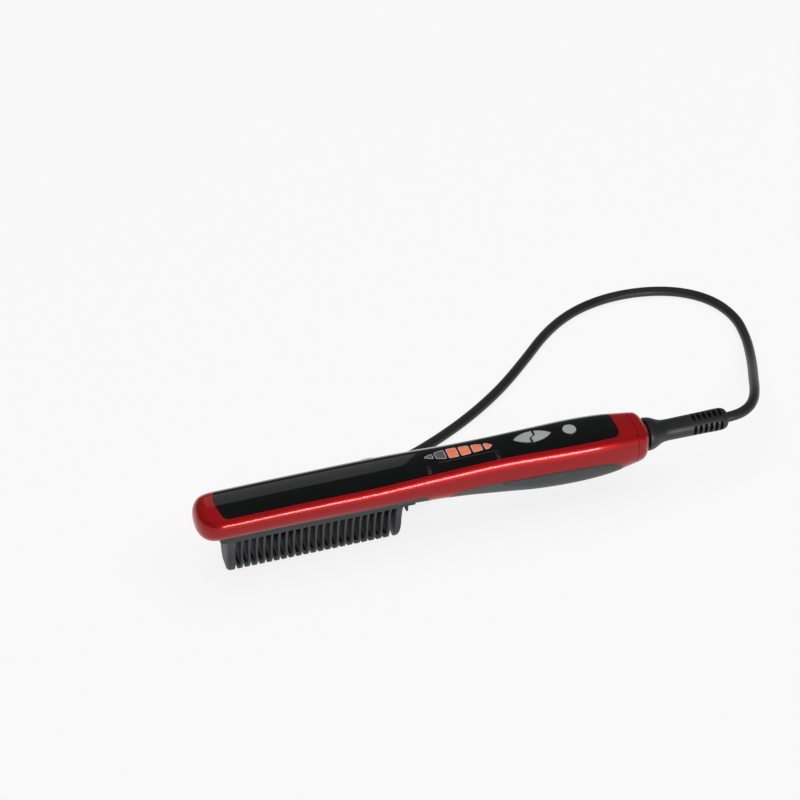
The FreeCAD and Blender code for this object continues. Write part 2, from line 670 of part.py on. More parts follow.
# Circuit board on its two ribs, with what is soldered to it.
BOARD_FRONT = f"{NOSE} + {BODY_END} - dims.windowBack - dims.boardLead"
BOARD_REAR = f"{NOSE} + {BODY_END} - dims.boardBack"
BOARD_LOW = "dims.chassisTop + dims.boardGap"
BOARD_TOP = BOARD_LOW + " + dims.boardThickness"
BOARD_SCREWS = (BOARD_FRONT + " + dims.boardScrewInset", BOARD_REAR + " - dims.boardScrewInset")
blank = bound("Box", "board_blank", (BOARD_FRONT, "-dims.boardHalf", BOARD_LOW),
              Length=f"({BOARD_REAR}) - ({BOARD_FRONT})", Width="2 * dims.boardHalf",
              Height="dims.boardThickness")
holes = fused("board_holes", [
    bound("Cylinder", f"board_hole_{k}", (where, "0", BOARD_LOW + " - 1"),
          Radius="dims.screwRadius + dims.screwClear", Height="dims.boardThickness + 2")
    for k, where in enumerate(BOARD_SCREWS)])
keep(cut("control_board", blank, holes), "control_board")

KEYS_AT = f"{NOSE} + {BODY_END} - dims.keysBack"
PRESS_AT = {"power_button": f"{NOSE} + {BODY_END} - dims.powerBack",
            "temperature_down_key": KEYS_AT + " - dims.keysHalfLength / 2",
            "temperature_up_key": KEYS_AT + " + dims.keysHalfLength / 2"}
switches = []
for name, where in PRESS_AT.items():
    switches.append(fused(name + "_switch", [
        bound("Box", name + "_switch_base",
              (where + " - dims.switchSide / 2", "-dims.switchSide / 2", BOARD_TOP),
              Length="dims.switchSide", Width="dims.switchSide",
              Height="dims.switchHeight"),
        bound("Cylinder", name + "_plunger", (where, "0", BOARD_TOP),
              Radius="dims.plungerRadius",
              Height="dims.switchHeight + dims.plungerHeight")]))
grouped("tact_switches", switches)
WINDOW_AT = f"{NOSE} + {BODY_END} - dims.windowBack + dims.windowLength / 2"
grouped("indicator_leds", [
    bound("Box", f"indicator_led_{k + 1}",
          (f"{WINDOW_AT} + {k} * dims.windowPitch - dims.ledSide / 2",
           "-dims.ledSide / 2", BOARD_TOP),
          Length="dims.ledSide", Width="dims.ledSide", Height="dims.ledHeight")
    for k in range(int(d("windowCount")))])
keep(bound("Box", "power_triac",
           (KEYS_AT + " - dims.triacLength / 2",
            "dims.boardHalf - dims.triacWidth - dims.edgeGap", BOARD_TOP),
           Length="dims.triacLength", Width="dims.triacWidth",
           Height="dims.triacHeight"), "power_triac")
keep(bound("Box", "microcontroller",
           (KEYS_AT + " - dims.keysHalfLength - dims.controllerSide",
            "-dims.boardHalf + dims.edgeGap", BOARD_TOP),
           Length="dims.controllerSide", Width="dims.controllerSide",
           Height="dims.controllerHeight"), "microcontroller")
keep(bound("Cylinder", "supply_capacitor",
           (KEYS_AT + " - dims.keysHalfLength - dims.controllerSide"
            " - dims.capacitorLength - dims.edgeGap",
            "-dims.boardHalf + dims.capacitorRadius + dims.edgeGap",
            BOARD_TOP + " + dims.capacitorRadius"),
           TO_X, Radius="dims.capacitorRadius", Height="dims.capacitorLength"),
     "supply_capacitor")
TERMINAL_AT = PRESS_AT["power_button"] + " + dims.switchSide / 2 + dims.edgeGap"
keep(bound("Box", "mains_terminals", (TERMINAL_AT, "-dims.terminalHalf", BOARD_TOP),
           Length="dims.terminalLength", Width="2 * dims.terminalHalf",
           Height="dims.terminalHeight"), "mains_terminals")


# ---------------------------------------------------------------- buttons and windows
board_top = d("chassisTop") + d("boardGap") + d("boardThickness")


def pressed_piece(plan, skirt_plan, station):
    """A button cap in the panel, its skirt below the panel and its stem."""
    panel_top = profile(station)[1]
    under = panel_top - d("wall") - d("fit") - d("crownDrop")
    cap = plan.common(layer(under, panel_top + d("buttonProud")))
    skirt = skirt_plan.common(layer(under - d("buttonSkirtHeight"), under))
    switch_top = board_top + d("switchHeight") + d("plungerHeight")
    stem = post(station, 0, switch_top + d("stemGap"), under, d("stemRadius"))
    return cap.fuse(skirt).fuse(stem).removeSplitter()


feature("power_button", pressed_piece(button_outline(), button_outline(d("buttonSkirt")),
                                      back("powerBack")))


def key_halves(grow):
    """The two halves of the lens-shaped key outline, front half first."""
    halves = key_blank(grow).cut(zigzag(d("keysGap"))).Solids
    return sorted(halves, key=lambda solid: solid.CenterOfMass.x)


names = ("temperature_down_key", "temperature_up_key")
for name, sign, cap, skirt in zip(names, (-1, 1), key_halves(0), key_halves(d("buttonSkirt"))):
    station = back("keysBack") + sign * d("keysHalfLength") / 2
    feature(name, pressed_piece(cap, skirt, station))

window_low = d("neckFrontTop") - d("windowDepth")
for index, plan in enumerate(windows):
    feature(f"level_window_{index + 1}", plan.common(outer).common(layer(window_low, 2 * BEYOND)))


# ---------------------------------------------------------------- screws and wires
def bound_screw(name, at, seat, length, head_below):
    """A pan-head screw with a cross slot. Its head bears at the seat height."""
    x, y = at
    shank_low = seat if head_below else f"{seat} - ({length})"
    head_low = f"{seat} - dims.screwHead" if head_below else seat
    slot_low = head_low if head_below else f"{seat} + dims.screwHead - dims.screwSlotDepth"
    body = fused(name + "_body", [
        bound("Cylinder", name + "_shank", (x, y, shank_low), Radius="dims.screwRadius",
              Height=length),
        bound("Cylinder", name + "_head", (x, y, head_low),
              Radius="dims.screwHeadRadius", Height="dims.screwHead")])
    cross = fused(name + "_cross", [
        bound("Box", f"{name}_slot_{long}_{wide}",
              (f"{x} - {long} / 2", f"{y} - {wide} / 2", slot_low),
              Length=long, Width=wide, Height="dims.screwSlotDepth")
        for long, wide in (("dims.screwSlot", "dims.screwHeadRadius"),
                           ("dims.screwHeadRadius", "dims.screwSlot"))])
    return cut(name, body, cross)


COMB_SCREW_AT = (f"{NOSE} + dims.firstRibAt + dims.ribPitch * dims.ribCount"
                 " - dims.ribThickness / 2 + dims.rearBlock"
                 " + dims.stubCount * dims.stubPitch + dims.tailGap + dims.combScrewAt")
grouped("comb_screws", [
    bound_screw(f"comb_screw_{k + 1}", (COMB_SCREW_AT, f"{sign} * dims.combScrewOffset"),
                "dims.combScrewSeat",
                "dims.combSeat - dims.combScrewSeat + dims.pilotDepth - 1", True)
    for k, sign in enumerate((-1, 1))])
grouped("board_screws", [
    bound_screw(f"board_screw_{k + 1}", (where, "0"), BOARD_TOP,
                "dims.boardThickness + dims.boardGap + dims.chassisPlate / 2", False)
    for k, where in enumerate(BOARD_SCREWS)])
grip_screws = []
for station in grip_screw_at:
    seat = profile(station)[2] + d("wall") * 1.2
    long = d("wall") + d("gripSeatHeight") - d("wall") * 1.2 + d("pilotDepth") - 1
    screw = post(station, 0, seat, seat + long, d("screwRadius"))
    screw = screw.fuse(post(station, 0, seat - d("screwHead"), seat, d("screwHeadRadius")))
    for long, wide in ((d("screwSlot"), d("screwHeadRadius")),
                       (d("screwHeadRadius"), d("screwSlot"))):
        screw = screw.cut(box(station - long / 2, station + long / 2, -wide / 2, wide / 2,
                              seat - d("screwHead"),
                              seat - d("screwHead") + d("screwSlotDepth")))
    grip_screws.append(screw)
feature("grip_screws", Part.makeCompound(grip_screws))


def gentle(before, corner, after):
    """The bend radius of the short inner wires."""
    return d("wireBend")


def wire_pair(label, route):
    """Two mirrored wires along a route of (station, offset, height)."""
    wires = [path_tube([V(nose_x + x, sign * y, z) for x, y, z in route],
                       d("wireRadius"), gentle)[0] for sign in (-1, 1)]
    return feature(label, Part.makeCompound(wires))


wire_low = plate_high + d("wireRadius") + d("fit")
wire_high = board_top + d("wireRadius")
spread = d("wireSpread")
heater_end = comb_middle + d("heaterPitch") + d("heaterLength") / 2
wire_out = d("chassisHalf") + d("wireRadius") + d("fit")
wire_pair("heater_leads", [
    (heater_end, spread, wire_low), (heater_end + 3.5, spread, wire_low),
    (heater_end + 7, wire_out - 0.4, wire_low + 1.2), (heater_end + 9, wire_out, wire_low + 4),
    (heater_end + 11, wire_out, wire_high - 3), (board_front + 5, wire_out - 1, wire_high),
    (board_front + 12, wire_out - 4, wire_high)])
terminal_rear = back("powerBack") + d("switchSide") / 2 + d("edgeGap") + d("terminalLength")
socket_front = back("socketLength")
wire_pair("supply_leads", [
    (terminal_rear, spread, wire_high + 1), (terminal_rear + 4, spread, wire_high + 1),
    (socket_front - 5, spread + 0.5, wire_high - 2), (socket_front, spread + 0.5, wire_high - 2)])

# ---------------------------------------------------------------- cord swivel
socket_rear = back("collarFace") - d("coreFlangeThickness") - 2 * d("fit")
brush_low = d("axisHeight") + d("ringRadius") + d("fit")
ring_at = [socket_front + d("socketWall") + 2 + d("ringPitch") * k for k in (0, 1)]


def swivel_socket():
    """Fixed bearing block that fills the handle's end in front of the collar."""
    shape = inner.common(box(socket_front, socket_rear, -BEYOND, BEYOND, 0, 2 * BEYOND))
    chamber = along_x(socket_front + d("socketWall"), socket_rear + 1,
                      d("ringRadius") + d("drumGap"))
    shape = shape.cut(chamber).cut(along_x(socket_front - 1, socket_rear + 1, 3.8))
    return shape.cut(brushes())


def brushes():
    """Two contact brushes above the slip rings."""
    blocks = [box(x + 0.2, x + 0.2 + d("brushWidth"), -d("brushHalf"), d("brushHalf"),
                  brush_low, brush_low + d("brushHeight")) for x in ring_at]
    return Part.makeCompound(blocks)


feature("swivel_socket", swivel_socket())
feature("contact_brushes", brushes())

AXIS = ("0", "dims.axisHeight")
SOCKET_FRONT = f"{NOSE} + {BODY_END} - dims.socketLength"
DRUM_FRONT = f"{SOCKET_FRONT} + dims.socketWall + dims.fit"
FLANGE_REAR = f"{NOSE} + {BODY_END} - dims.collarFace - dims.fit"
FLANGE_FRONT = f"{FLANGE_REAR} - dims.coreFlangeThickness"
COLLAR_REAR = f"{NOSE} + {BODY_END}"
core = fused("core_steps", [
    bound("Cylinder", "core_drum", (DRUM_FRONT,) + AXIS, TO_X,
          Radius="dims.ringRadius - dims.ringThickness",
          Height=f"({FLANGE_FRONT}) - ({DRUM_FRONT})"),
    bound("Cylinder", "core_flange", (FLANGE_FRONT,) + AXIS, TO_X,
          Radius="dims.coreFlange", Height="dims.coreFlangeThickness"),
    bound("Cylinder", "core_journal", (FLANGE_REAR,) + AXIS, TO_X,
          Radius="dims.coreRadius", Height="dims.collarFace + 2 * dims.fit"),
    bound("Cylinder", "core_tail", (COLLAR_REAR,) + AXIS, TO_X,
          Radius="dims.coreTailRadius", Height="dims.coreTail")])
keep(cut("swivel_core", core,
         bound("Cylinder", "core_bore", (SOCKET_FRONT,) + AXIS, TO_X,
               Radius="dims.coreBore", Height="dims.socketLength + dims.coreTail + 1")),
     "swivel_core")
grouped("contact_rings", [
    cut(f"contact_ring_{k + 1}",
        bound("Cylinder", f"ring_blank_{k + 1}",
              (f"{SOCKET_FRONT} + dims.socketWall + 2 + {k} * dims.ringPitch",) + AXIS,
              TO_X, Radius="dims.ringRadius", Height="dims.ringWidth"),
        bound("Cylinder", f"ring_bore_{k + 1}",
              (f"{SOCKET_FRONT} + dims.socketWall + 1 + {k} * dims.ringPitch",) + AXIS,
              TO_X, Radius="dims.ringRadius - dims.ringThickness",
              Height="dims.ringWidth + 2"))
    for k in (0, 1)])

# ---------------------------------------------------------------- cord boot
boot_start = body_end + d("fit")
boot_end = body_end + d("bootLength")


def strain_relief():
    """Rubber boot: a bell at the collar, a slim barrel and a slotted flexible end."""
    z, r, tip, turn = d("axisHeight"), d("bootRadius"), d("bootEndRadius"), d("bootEndRound")
    long = d("bellLength")

    def p(station, radius):
        return V(nose_x + station, 0, z + radius)

    corner = turn * (1 - math.sqrt(0.5))
    edges = [
        Part.LineSegment(p(boot_start, 0), p(boot_start, d("bellRadius"))).toShape(),
        spline([p(boot_start, d("bellRadius")), p(boot_start + long * 0.35, r + 1.9),
                p(boot_start + long * 0.7, r + 0.4), p(boot_start + long, r)]),
        Part.LineSegment(p(boot_start + long, r), p(boot_end - turn, tip)).toShape(),
        Part.Arc(p(boot_end - turn, tip), p(boot_end - corner, tip - corner),
                 p(boot_end, tip - turn)).toShape(),
        Part.LineSegment(p(boot_end, tip - turn), p(boot_end, 0)).toShape(),
        Part.LineSegment(p(boot_end, 0), p(boot_start, 0)).toShape(),
    ]
    shape = Part.Face(Part.Wire(edges)).revolve(p(boot_start, 0), V(1, 0, 0), 360)
    # Slots from four sides leave four ribs along the barrel and a solid core.
    half = r - d("bootRib")
    slots = []
    for side in range(4):
        for k in range(int(d("bootSlots"))):
            rear = boot_end - d("bootSlotEnd") - d("bootSlotPitch") * (k + (side % 2) * 0.5)
            cutter = box(rear - d("bootSlotWidth"), rear, -half, half,
                         z + r - d("bootSlotDepth"), z + 2 * r)
            cutter.rotate(V(0, 0, z), V(1, 0, 0), 90 * side)
            slots.append(cutter)
    shape = shape.cut(Part.makeCompound(slots))
    return shape.cut(along_x(body_end - 1, body_end + d("coreTail"),
                             d("coreTailRadius"))).removeSplitter()


feature("strain_relief", strain_relief())

# ---------------------------------------------------------------- free cord
# Points of the cord's route as station, offset and height: out of the boot, down to the
# table in one open loop, and back behind the handle to the hank.
ROUTE = [(341.3, 0, 36.3), (349, 0.3, 36.3), (356.5, 2.8, 36.1), (363.2, 7.8, 35.5),
         (369, 15.5, 34), (375, 27, 30.8), (382, 43, 24.8), (391, 62.5, 16.6),
         (400, 84, 9.2), (408, 108, 4.6), (411.5, 133, 3.4), (404, 156, 3.4),
         (386.5, 172, 3.4), (362, 180, 3.4), (334, 180.5, 3.4), (306, 172.5, 3.4),
         (281, 156, 3.4), (257, 131.5, 3.4), (230.5, 106.5, 3.4), (201, 85, 3.4),
         (170, 67.5, 3.4), (143, 56, 3.4), (121, 48.3, 3.4)]
# The free end leaves the top of the hank, behind the neck, and drops to the plug.
PLUG_ROUTE = [(121, 16, 16.7), (138, 17.5, 15.4), (156, 23, 10.8), (173, 28.5, 7.6),
              (190, 31, 7)]


def cord_point(row):
    """A route point in the part's frame."""
    return V(nose_x + row[0], row[1], row[2])


def widest_bend(before, corner, after):
    """The largest arc that leaves most of each run straight."""
    short = min((before - corner).Length, (after - corner).Length)
    half_turn = (math.pi - (before - corner).getAngle(after - corner)) / 2
    return 0.45 * short / math.tan(half_turn)


def cord_piece(label, route):
    """A free stretch of cord, with its bend radii printed."""
    points = [cord_point(p) for p in route]
    tube, path = path_tube(points, d("cordDiameter") / 2, widest_bend)
    radii = [widest_bend(*three) for three in zip(points, points[1:], points[2:])]
    area = math.pi * (d("cordDiameter") / 2) ** 2
    print(label, "length", round(path.Length, 1), "radii", [round(x) for x in radii],
          "volume share", round(tube.Volume / (area * path.Length), 4))
    return feature(label, tube)


cord_piece("power_cord", ROUTE)
cord_piece("plug_lead", PLUG_ROUTE)
hank_middle = d("hankFront") + d("hankLength") / 2
hank_y = d("hankNear") + d("hankWidth") / 2


def cord_hank():
    """Closed outer shape of the put-away cord: long loops drawn in at the tie."""
    end_radius, waist, half_tie = d("hankWidth") / 2, d("hankWaistHalf"), d("tieWidth") / 2
    reach = d("hankLength") / 2 - end_radius

    def p(x, y):
        return V(nose_x + hank_middle + x, hank_y + y, 0)

    edges = []
    for sign in (-1, 1):
        wide, bow, narrow = sign * end_radius, sign * end_radius * 0.8, sign * waist
        edges += [
            spline([p(-reach, wide), p(-reach * 0.55, bow), p(-half_tie, narrow)]),
            Part.LineSegment(p(-half_tie, narrow), p(half_tie, narrow)).toShape(),
            spline([p(half_tie, narrow), p(reach * 0.55, bow), p(reach, wide)]),
            Part.Arc(p(sign * reach, end_radius), p(sign * (reach + end_radius), 0),
                     p(sign * reach, -end_radius)).toShape()]
    wire = Part.Wire(Part.__sortEdges__(edges))
    high = d("hankLayers") * d("cordDiameter") + d("hankSlack")
    return Part.Face(wire).extrude(V(0, 0, high))


feature("cord_hank", cord_hank())
HANK_HIGH = "dims.hankLayers * dims.cordDiameter + dims.hankSlack"
TIE_AT = f"{NOSE} + dims.hankFront + dims.hankLength / 2 - dims.tieWidth / 2"
HANK_Y = "dims.hankNear + dims.hankWidth / 2"
strap = bound("Box", "tie_strap",
              (TIE_AT, f"{HANK_Y} - dims.hankWaistHalf - dims.tieThickness", "0"),
              Length="dims.tieWidth", Width="2 * (dims.hankWaistHalf + dims.tieThickness)",
              Height=HANK_HIGH + " + dims.tieThickness")
inside = bound("Box", "tie_inside", (TIE_AT + " - 1", f"{HANK_Y} - dims.hankWaistHalf", "-1"),
               Length="dims.tieWidth + 2", Width="2 * dims.hankWaistHalf",
               Height=HANK_HIGH + " + 1")
keep(cut("cord_tie", strap, inside), "cord_tie")

# ---------------------------------------------------------------- plug
plug_at = cord_point(PLUG_ROUTE[-1])
plug_heading = plug_at - cord_point(PLUG_ROUTE[-2])
plug_place = Placement(plug_at, Rotation(V(1, 0, 0), V(plug_heading.x, plug_heading.y, 0)))


def plug_body():
    """Flat two-pin plug: a tapered neck and a body that widens towards the pins."""
    neck, long = d("plugNeck"), d("plugLength")
    half, thick = d("plugWidth") / 2, d("plugThickness") / 2
    shape = Part.makeCone(d("plugNeckRadius"), d("plugNeckRadius") + d("plugNeckFlare"),
                          neck, V(), V(1, 0, 0))
    side = [(neck - 2, half * 0.37), (neck + long * 0.17, half * 0.54),
            (neck + long * 0.4, half * 0.74), (neck + long * 0.67, half),
            (neck + long, half - 1.5)]
    outline = [V(x, y, -thick) for x, y in side] + [V(x, -y, -thick) for x, y in reversed(side)]
    flat = prism(outline, V(0, 0, 2 * thick))
    across = [e for e in flat.Edges if abs(e.tangentAt(e.FirstParameter).z) < 0.1]
    return shape.fuse(flat.makeChamfer(d("plugChamfer"), across)).removeSplitter()


def plug_pins():
    """Two round contact pins with tapered tips."""
    pins = []
    face, body = d("plugNeck") + d("plugLength"), d("pinLength") - d("pinTip")
    for y in (-d("pinSpacing") / 2, d("pinSpacing") / 2):
        pin = Part.makeCylinder(d("pinRadius"), body, V(face, y, 0), V(1, 0, 0))
        tip = Part.makeCone(d("pinRadius"), d("pinRadius") * 0.6, d("pinTip"),
                            V(face + body, y, 0), V(1, 0, 0))
        pins.append(pin.fuse(tip).removeSplitter())
    return Part.makeCompound(pins)


feature("plug_body", plug_body(), plug_place)
feature("plug_pins", plug_pins(), plug_place)

# ---------------------------------------------------------------- checks and export
doc.recompute()
for obj in doc.Objects:
    if "Invalid" in obj.State or "Error" in obj.State:
        raise RuntimeError(f"{obj.Name} did not build: {obj.State}")
for obj in nodes:
    if obj.Shape.isNull() or not obj.Shape.isValid() or not obj.Shape.Solids:
        raise RuntimeError(f"{obj.Label} is not a valid solid")
    print(f"{obj.Label:24s} solids {len(obj.Shape.Solids):3d} volume {obj.Shape.Volume:10.1f}")
os.makedirs("parts", exist_ok=True)
for obj in nodes:
    obj.Shape.exportStep(f"parts/{obj.Label}.step")
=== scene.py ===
"""Heated straightening comb, dressed around its packed construction.

Metres, +X from the nose to the cord, +Z up, and the comb stands on its tooth tips at z = 0.
A station is a distance along the body from the nose, in millimetres. Shapes are worked out
in millimetres and placed with at().
"""
import math

import bmesh
import bpy
import numpy as np
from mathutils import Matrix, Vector, geometry


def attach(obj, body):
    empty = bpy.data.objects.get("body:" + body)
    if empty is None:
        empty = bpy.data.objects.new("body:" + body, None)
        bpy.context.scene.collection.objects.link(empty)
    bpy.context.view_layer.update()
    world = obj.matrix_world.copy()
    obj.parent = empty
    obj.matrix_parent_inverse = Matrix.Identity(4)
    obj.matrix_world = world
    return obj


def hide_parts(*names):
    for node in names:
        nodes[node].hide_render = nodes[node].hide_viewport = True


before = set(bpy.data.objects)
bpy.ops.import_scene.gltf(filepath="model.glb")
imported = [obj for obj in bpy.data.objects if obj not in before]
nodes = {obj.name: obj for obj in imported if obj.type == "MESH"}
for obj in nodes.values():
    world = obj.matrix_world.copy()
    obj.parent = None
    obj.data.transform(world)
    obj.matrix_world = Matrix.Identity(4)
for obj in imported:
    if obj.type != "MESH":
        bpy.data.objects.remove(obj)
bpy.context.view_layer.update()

MM = 0.001
BODY_LONG, BOOT_LONG = 290.0, 51.0
NOSE = -(BODY_LONG + BOOT_LONG) / 2
AXIS_HEIGHT = 36.3
CORD_WIDE = 6.6

link = bpy.context.scene.collection.objects.link


def at(station, y, z):
    """A point given by station, offset and height in millimetres."""
    return Vector(((NOSE + station) * MM, y * MM, z * MM))


def set_up(thing, place, heading):
    """Put a camera or a lamp in the scene, facing along a heading."""
    thing.location = place
    thing.rotation_mode = "QUATERNION"
    thing.rotation_quaternion = Vector(heading).to_track_quat("-Z", "Y")
    link(thing)


# -------- camera
def add_camera():
    """Long lens from the front left, above the comb."""
    data = bpy.data.cameras.new("view_camera")
    data.lens, data.sensor_width = 103.5, 36.0
    data.clip_start, data.clip_end = 0.05, 20.0
    camera = bpy.data.objects.new("view_camera", data)
    set_up(camera, (-0.3554, -0.9990, 0.9582), (0.2316, 0.7390, -0.6327))
    bpy.context.scene.camera = camera


add_camera()

# -------- free cord
ROUTE = [(341.3, 0, 36.3), (349, 0.3, 36.3), (356.5, 2.8, 36.1), (363.2, 7.8, 35.5),
         (369, 15.5, 34), (375, 27, 30.8), (382, 43, 24.8), (391, 62.5, 16.6),
         (400, 84, 9.2), (408, 108, 4.6), (411.5, 133, 3.4), (404, 156, 3.4),
         (386.5, 172, 3.4), (362, 180, 3.4), (334, 180.5, 3.4), (306, 172.5, 3.4),
         (281, 156, 3.4), (257, 131.5, 3.4), (230.5, 106.5, 3.4), (201, 85, 3.4),
         (170, 67.5, 3.4), (143, 56, 3.4), (121, 48.3, 3.4)]
PLUG_ROUTE = [(121, 16, 16.7), (138, 17.5, 15.4), (156, 23, 10.8), (173, 28.5, 7.6),
              (190, 31, 7)]
HANK_FRONT, HANK_REAR, HANK_MIDDLE, HANK_Y = 48.95, 120.05, 84.5, 32.05
HANK_TURN, HANK_SPREAD, HANK_PINCH, HANK_STEPS = 16.6, 14.15, 3.45, 8
HANK_RUN = (102, HANK_MIDDLE + 6, HANK_MIDDLE - 6, 66)
HANK_LAYERS, HANK_NARROW = (3.4, 10.0, 16.1), (0.0, 0.0, 1.6)


def hank_run(side, z, less):
    """Control points of a run on the far (1) or near (-1) side, pinched by the tie."""
    edge, waist = HANK_Y + side * HANK_SPREAD - side * less, HANK_Y + side * HANK_PINCH
    return [(s, y, z) for s, y in zip(HANK_RUN, (edge, waist, waist, edge))][::side]


def hank_bend(station, start, turn, z, rise=0.0):
    """Control points of a half turn from a starting angle, rising to the next layer."""
    points = []
    for share in ((step + 0.5) / HANK_STEPS for step in range(HANK_STEPS)):
        a = math.radians(start + 180 * share)
        points.append((station + turn * math.cos(a), HANK_Y + turn * math.sin(a),
                       z + rise * (3 * share ** 2 - 2 * share ** 3)))
    return points


def hank_turns():
    """Control points of the put-away turns: from the far side to the near side, upwards."""
    points = []
    for z, above, less in zip(HANK_LAYERS, (*HANK_LAYERS[1:], None), HANK_NARROW):
        turn = HANK_TURN - less
        points += hank_run(1, z, less) + hank_bend(HANK_FRONT, 90, turn, z)
        points += hank_run(-1, z, less)
        if above:
            points += hank_bend(HANK_REAR, -90, turn, z, above - z)
    return points


def cord_curve():
    """The whole free cord as one smooth line."""
    data = bpy.data.curves.new("mains_cord", "CURVE")
    data.dimensions = "3D"
    spline = data.splines.new("NURBS")
    points = ROUTE[:-1] + hank_turns() + PLUG_ROUTE[1:]
    spline.points.add(len(points) - 1)
    for point, row in zip(spline.points, points):
        point.co = (*at(*row), 1)
    spline.order_u = 3
    spline.use_endpoint_u = True
    spline.resolution_u = 8
    data.bevel_depth = CORD_WIDE / 2 * MM
    data.bevel_resolution = 7
    data.use_fill_caps = True
    cord = bpy.data.objects.new("mains_cord", data)
    link(cord)
    return cord


cord = cord_curve()

# -------- material helpers
COORDS = {}


def new_material(name):
    """An empty material with a Principled shader, its node tree and the shader."""
    material = bpy.data.materials.new(name)
    material.use_nodes = True
    tree = material.node_tree
    shader = next(n for n in tree.nodes if n.type == "BSDF_PRINCIPLED")
    COORDS[tree] = tree.nodes.new("ShaderNodeTexCoord").outputs["Object"]
    return material, tree, shader


def set_inputs(node, **values):
    """Set sockets by name, with underscores for spaces."""
    for name, value in values.items():
        node.inputs[name.replace("_", " ")].default_value = value


def noise(tree, scale, detail=3.0):
    """Noise over the object."""
    node = tree.nodes.new("ShaderNodeTexNoise")
    set_inputs(node, Scale=scale, Detail=detail)
    tree.links.new(COORDS[tree], node.inputs["Vector"])
    return node.outputs["Fac"]


def blend_colours(tree, factor, first, second):
    """Two colours mixed over the middle of a factor's range."""
    ramp = tree.nodes.new("ShaderNodeValToRGB")
    for stop, place, colour in zip(ramp.color_ramp.elements, (0.3, 0.7), (first, second)):
        stop.position, stop.color = place, (*colour, 1)
    tree.links.new(factor, ramp.inputs["Fac"])
    return ramp.outputs["Color"]


def spread(tree, factor, low, high):
    """A factor mapped to the range low to high."""
    node = tree.nodes.new("ShaderNodeMapRange")
    set_inputs(node, To_Min=low, To_Max=high)
    tree.links.new(factor, node.inputs["Value"])
    return node.outputs["Result"]


def bump(tree, shader, height, strength, distance):
    """Surface relief from a height signal."""
    node = tree.nodes.new("ShaderNodeBump")
    set_inputs(node, Strength=strength, Distance=distance)
    tree.links.new(height, node.inputs["Height"])
    tree.links.new(node.outputs["Normal"], shader.inputs["Normal"])


# -------- materials
TINT_SCALE, SHEEN_SCALE, GRAIN_STRENGTH = 60, 220, 0.35
FLAKE_SCALE, METAL_SCALE, METAL_SHADE = 4200, 900, 0.86


def moulded(name, first, second, rough, grain, depth, gloss=0.5, coat=0.0):
    """Moulded plastic or rubber: slight colour change, varied gloss and a fine grain."""
    material, tree, shader = new_material(name)
    tint = blend_colours(tree, noise(tree, TINT_SCALE, 4), first, second)
    tree.links.new(tint, shader.inputs["Base Color"])
    tree.links.new(spread(tree, noise(tree, SHEEN_SCALE), *rough), shader.inputs["Roughness"])
    bump(tree, shader, noise(tree, grain, 2), GRAIN_STRENGTH, depth)
    set_inputs(shader, Specular_IOR_Level=gloss, Coat_Weight=coat, Coat_IOR=1.35)
    return material


def red_lacquer():
    """Candy red paint: fine metal flake under a clear coat."""
    material, tree, shader = new_material("red_lacquer")
    flake = tree.nodes.new("ShaderNodeTexVoronoi")
    set_inputs(flake, Scale=FLAKE_SCALE)
    tree.links.new(COORDS[tree], flake.inputs["Vector"])
    tree.links.new(blend_colours(tree, flake.outputs["Color"], (0.33, 0.004, 0.007),
                                 (0.48, 0.012, 0.013)), shader.inputs["Base Color"])
    tree.links.new(spread(tree, noise(tree, 160), 0.30, 0.36), shader.inputs["Roughness"])
    set_inputs(shader, Metallic=0.4, Specular_IOR_Level=0.05, Coat_Weight=1.0,
               Coat_Roughness=0.06, Coat_IOR=1.3)
    return material


def metal(name, colour, rough):
    """Plain metal with a faint grain."""
    material, tree, shader = new_material(name)
    grain = noise(tree, METAL_SCALE)
    darker = tuple(c * METAL_SHADE for c in colour)
    tree.links.new(blend_colours(tree, grain, darker, colour), shader.inputs["Base Color"])
    tree.links.new(spread(tree, grain, rough * 0.8, rough * 1.25), shader.inputs["Roughness"])
    set_inputs(shader, Metallic=1.0)
    return material


def pane(name, first, second, glow):
    """A lamp window: coloured plastic under a clear face, its colour varied at random."""
    material, tree, shader = new_material(name)
    colour = blend_colours(tree, noise(tree, 260, 2), first, second)
    tree.links.new(colour, shader.inputs["Base Color"])
    tree.links.new(colour, shader.inputs["Emission Color"])
    set_inputs(shader, Roughness=0.25, Emission_Strength=glow, Coat_Weight=0.6)
    return material


RED = red_lacquer()
PANEL = moulded("gloss_black", (0.0028, 0.0031, 0.0032), (0.0045, 0.005, 0.0052),
                (0.06, 0.09), 300, 0.000002, 0.1, 1.0)
GRIP = moulded("soft_grip", (0.090, 0.095, 0.100), (0.108, 0.113, 0.118), (0.50, 0.58),
               2600, 0.00003)
PAD = moulded("grip_pad_dark", (0.044, 0.047, 0.050), (0.056, 0.059, 0.063), (0.44, 0.52),
              2400, 0.00003)
GUARD = moulded("guard_plastic", (0.056, 0.063, 0.066), (0.070, 0.078, 0.082), (0.46, 0.56),
                2200, 0.00003, 0.3)
COATING = moulded("comb_coating", (0.045, 0.010, 0.016), (0.070, 0.014, 0.024),
                  (0.45, 0.55), 1800, 0.00002, 0.05)
RUBBER = moulded("cord_rubber", (0.012, 0.0125, 0.0135), (0.018, 0.0185, 0.0195),
                 (0.40, 0.5), 1500, 0.00004)
INNER = moulded("inner_plastic", (0.05, 0.05, 0.055), (0.06, 0.06, 0.065), (0.5, 0.6),
                1500, 0.00003)
WHITE = moulded("ceramic_white", (0.70, 0.68, 0.64), (0.80, 0.78, 0.74), (0.4, 0.5),
                1500, 0.00002)
FILM = moulded("amber_film", (0.52, 0.26, 0.03), (0.64, 0.34, 0.06), (0.15, 0.25), 500, 0.00001)
BOARD = moulded("board_green", (0.012, 0.12, 0.04), (0.02, 0.17, 0.06), (0.25, 0.35),
                900, 0.00002)
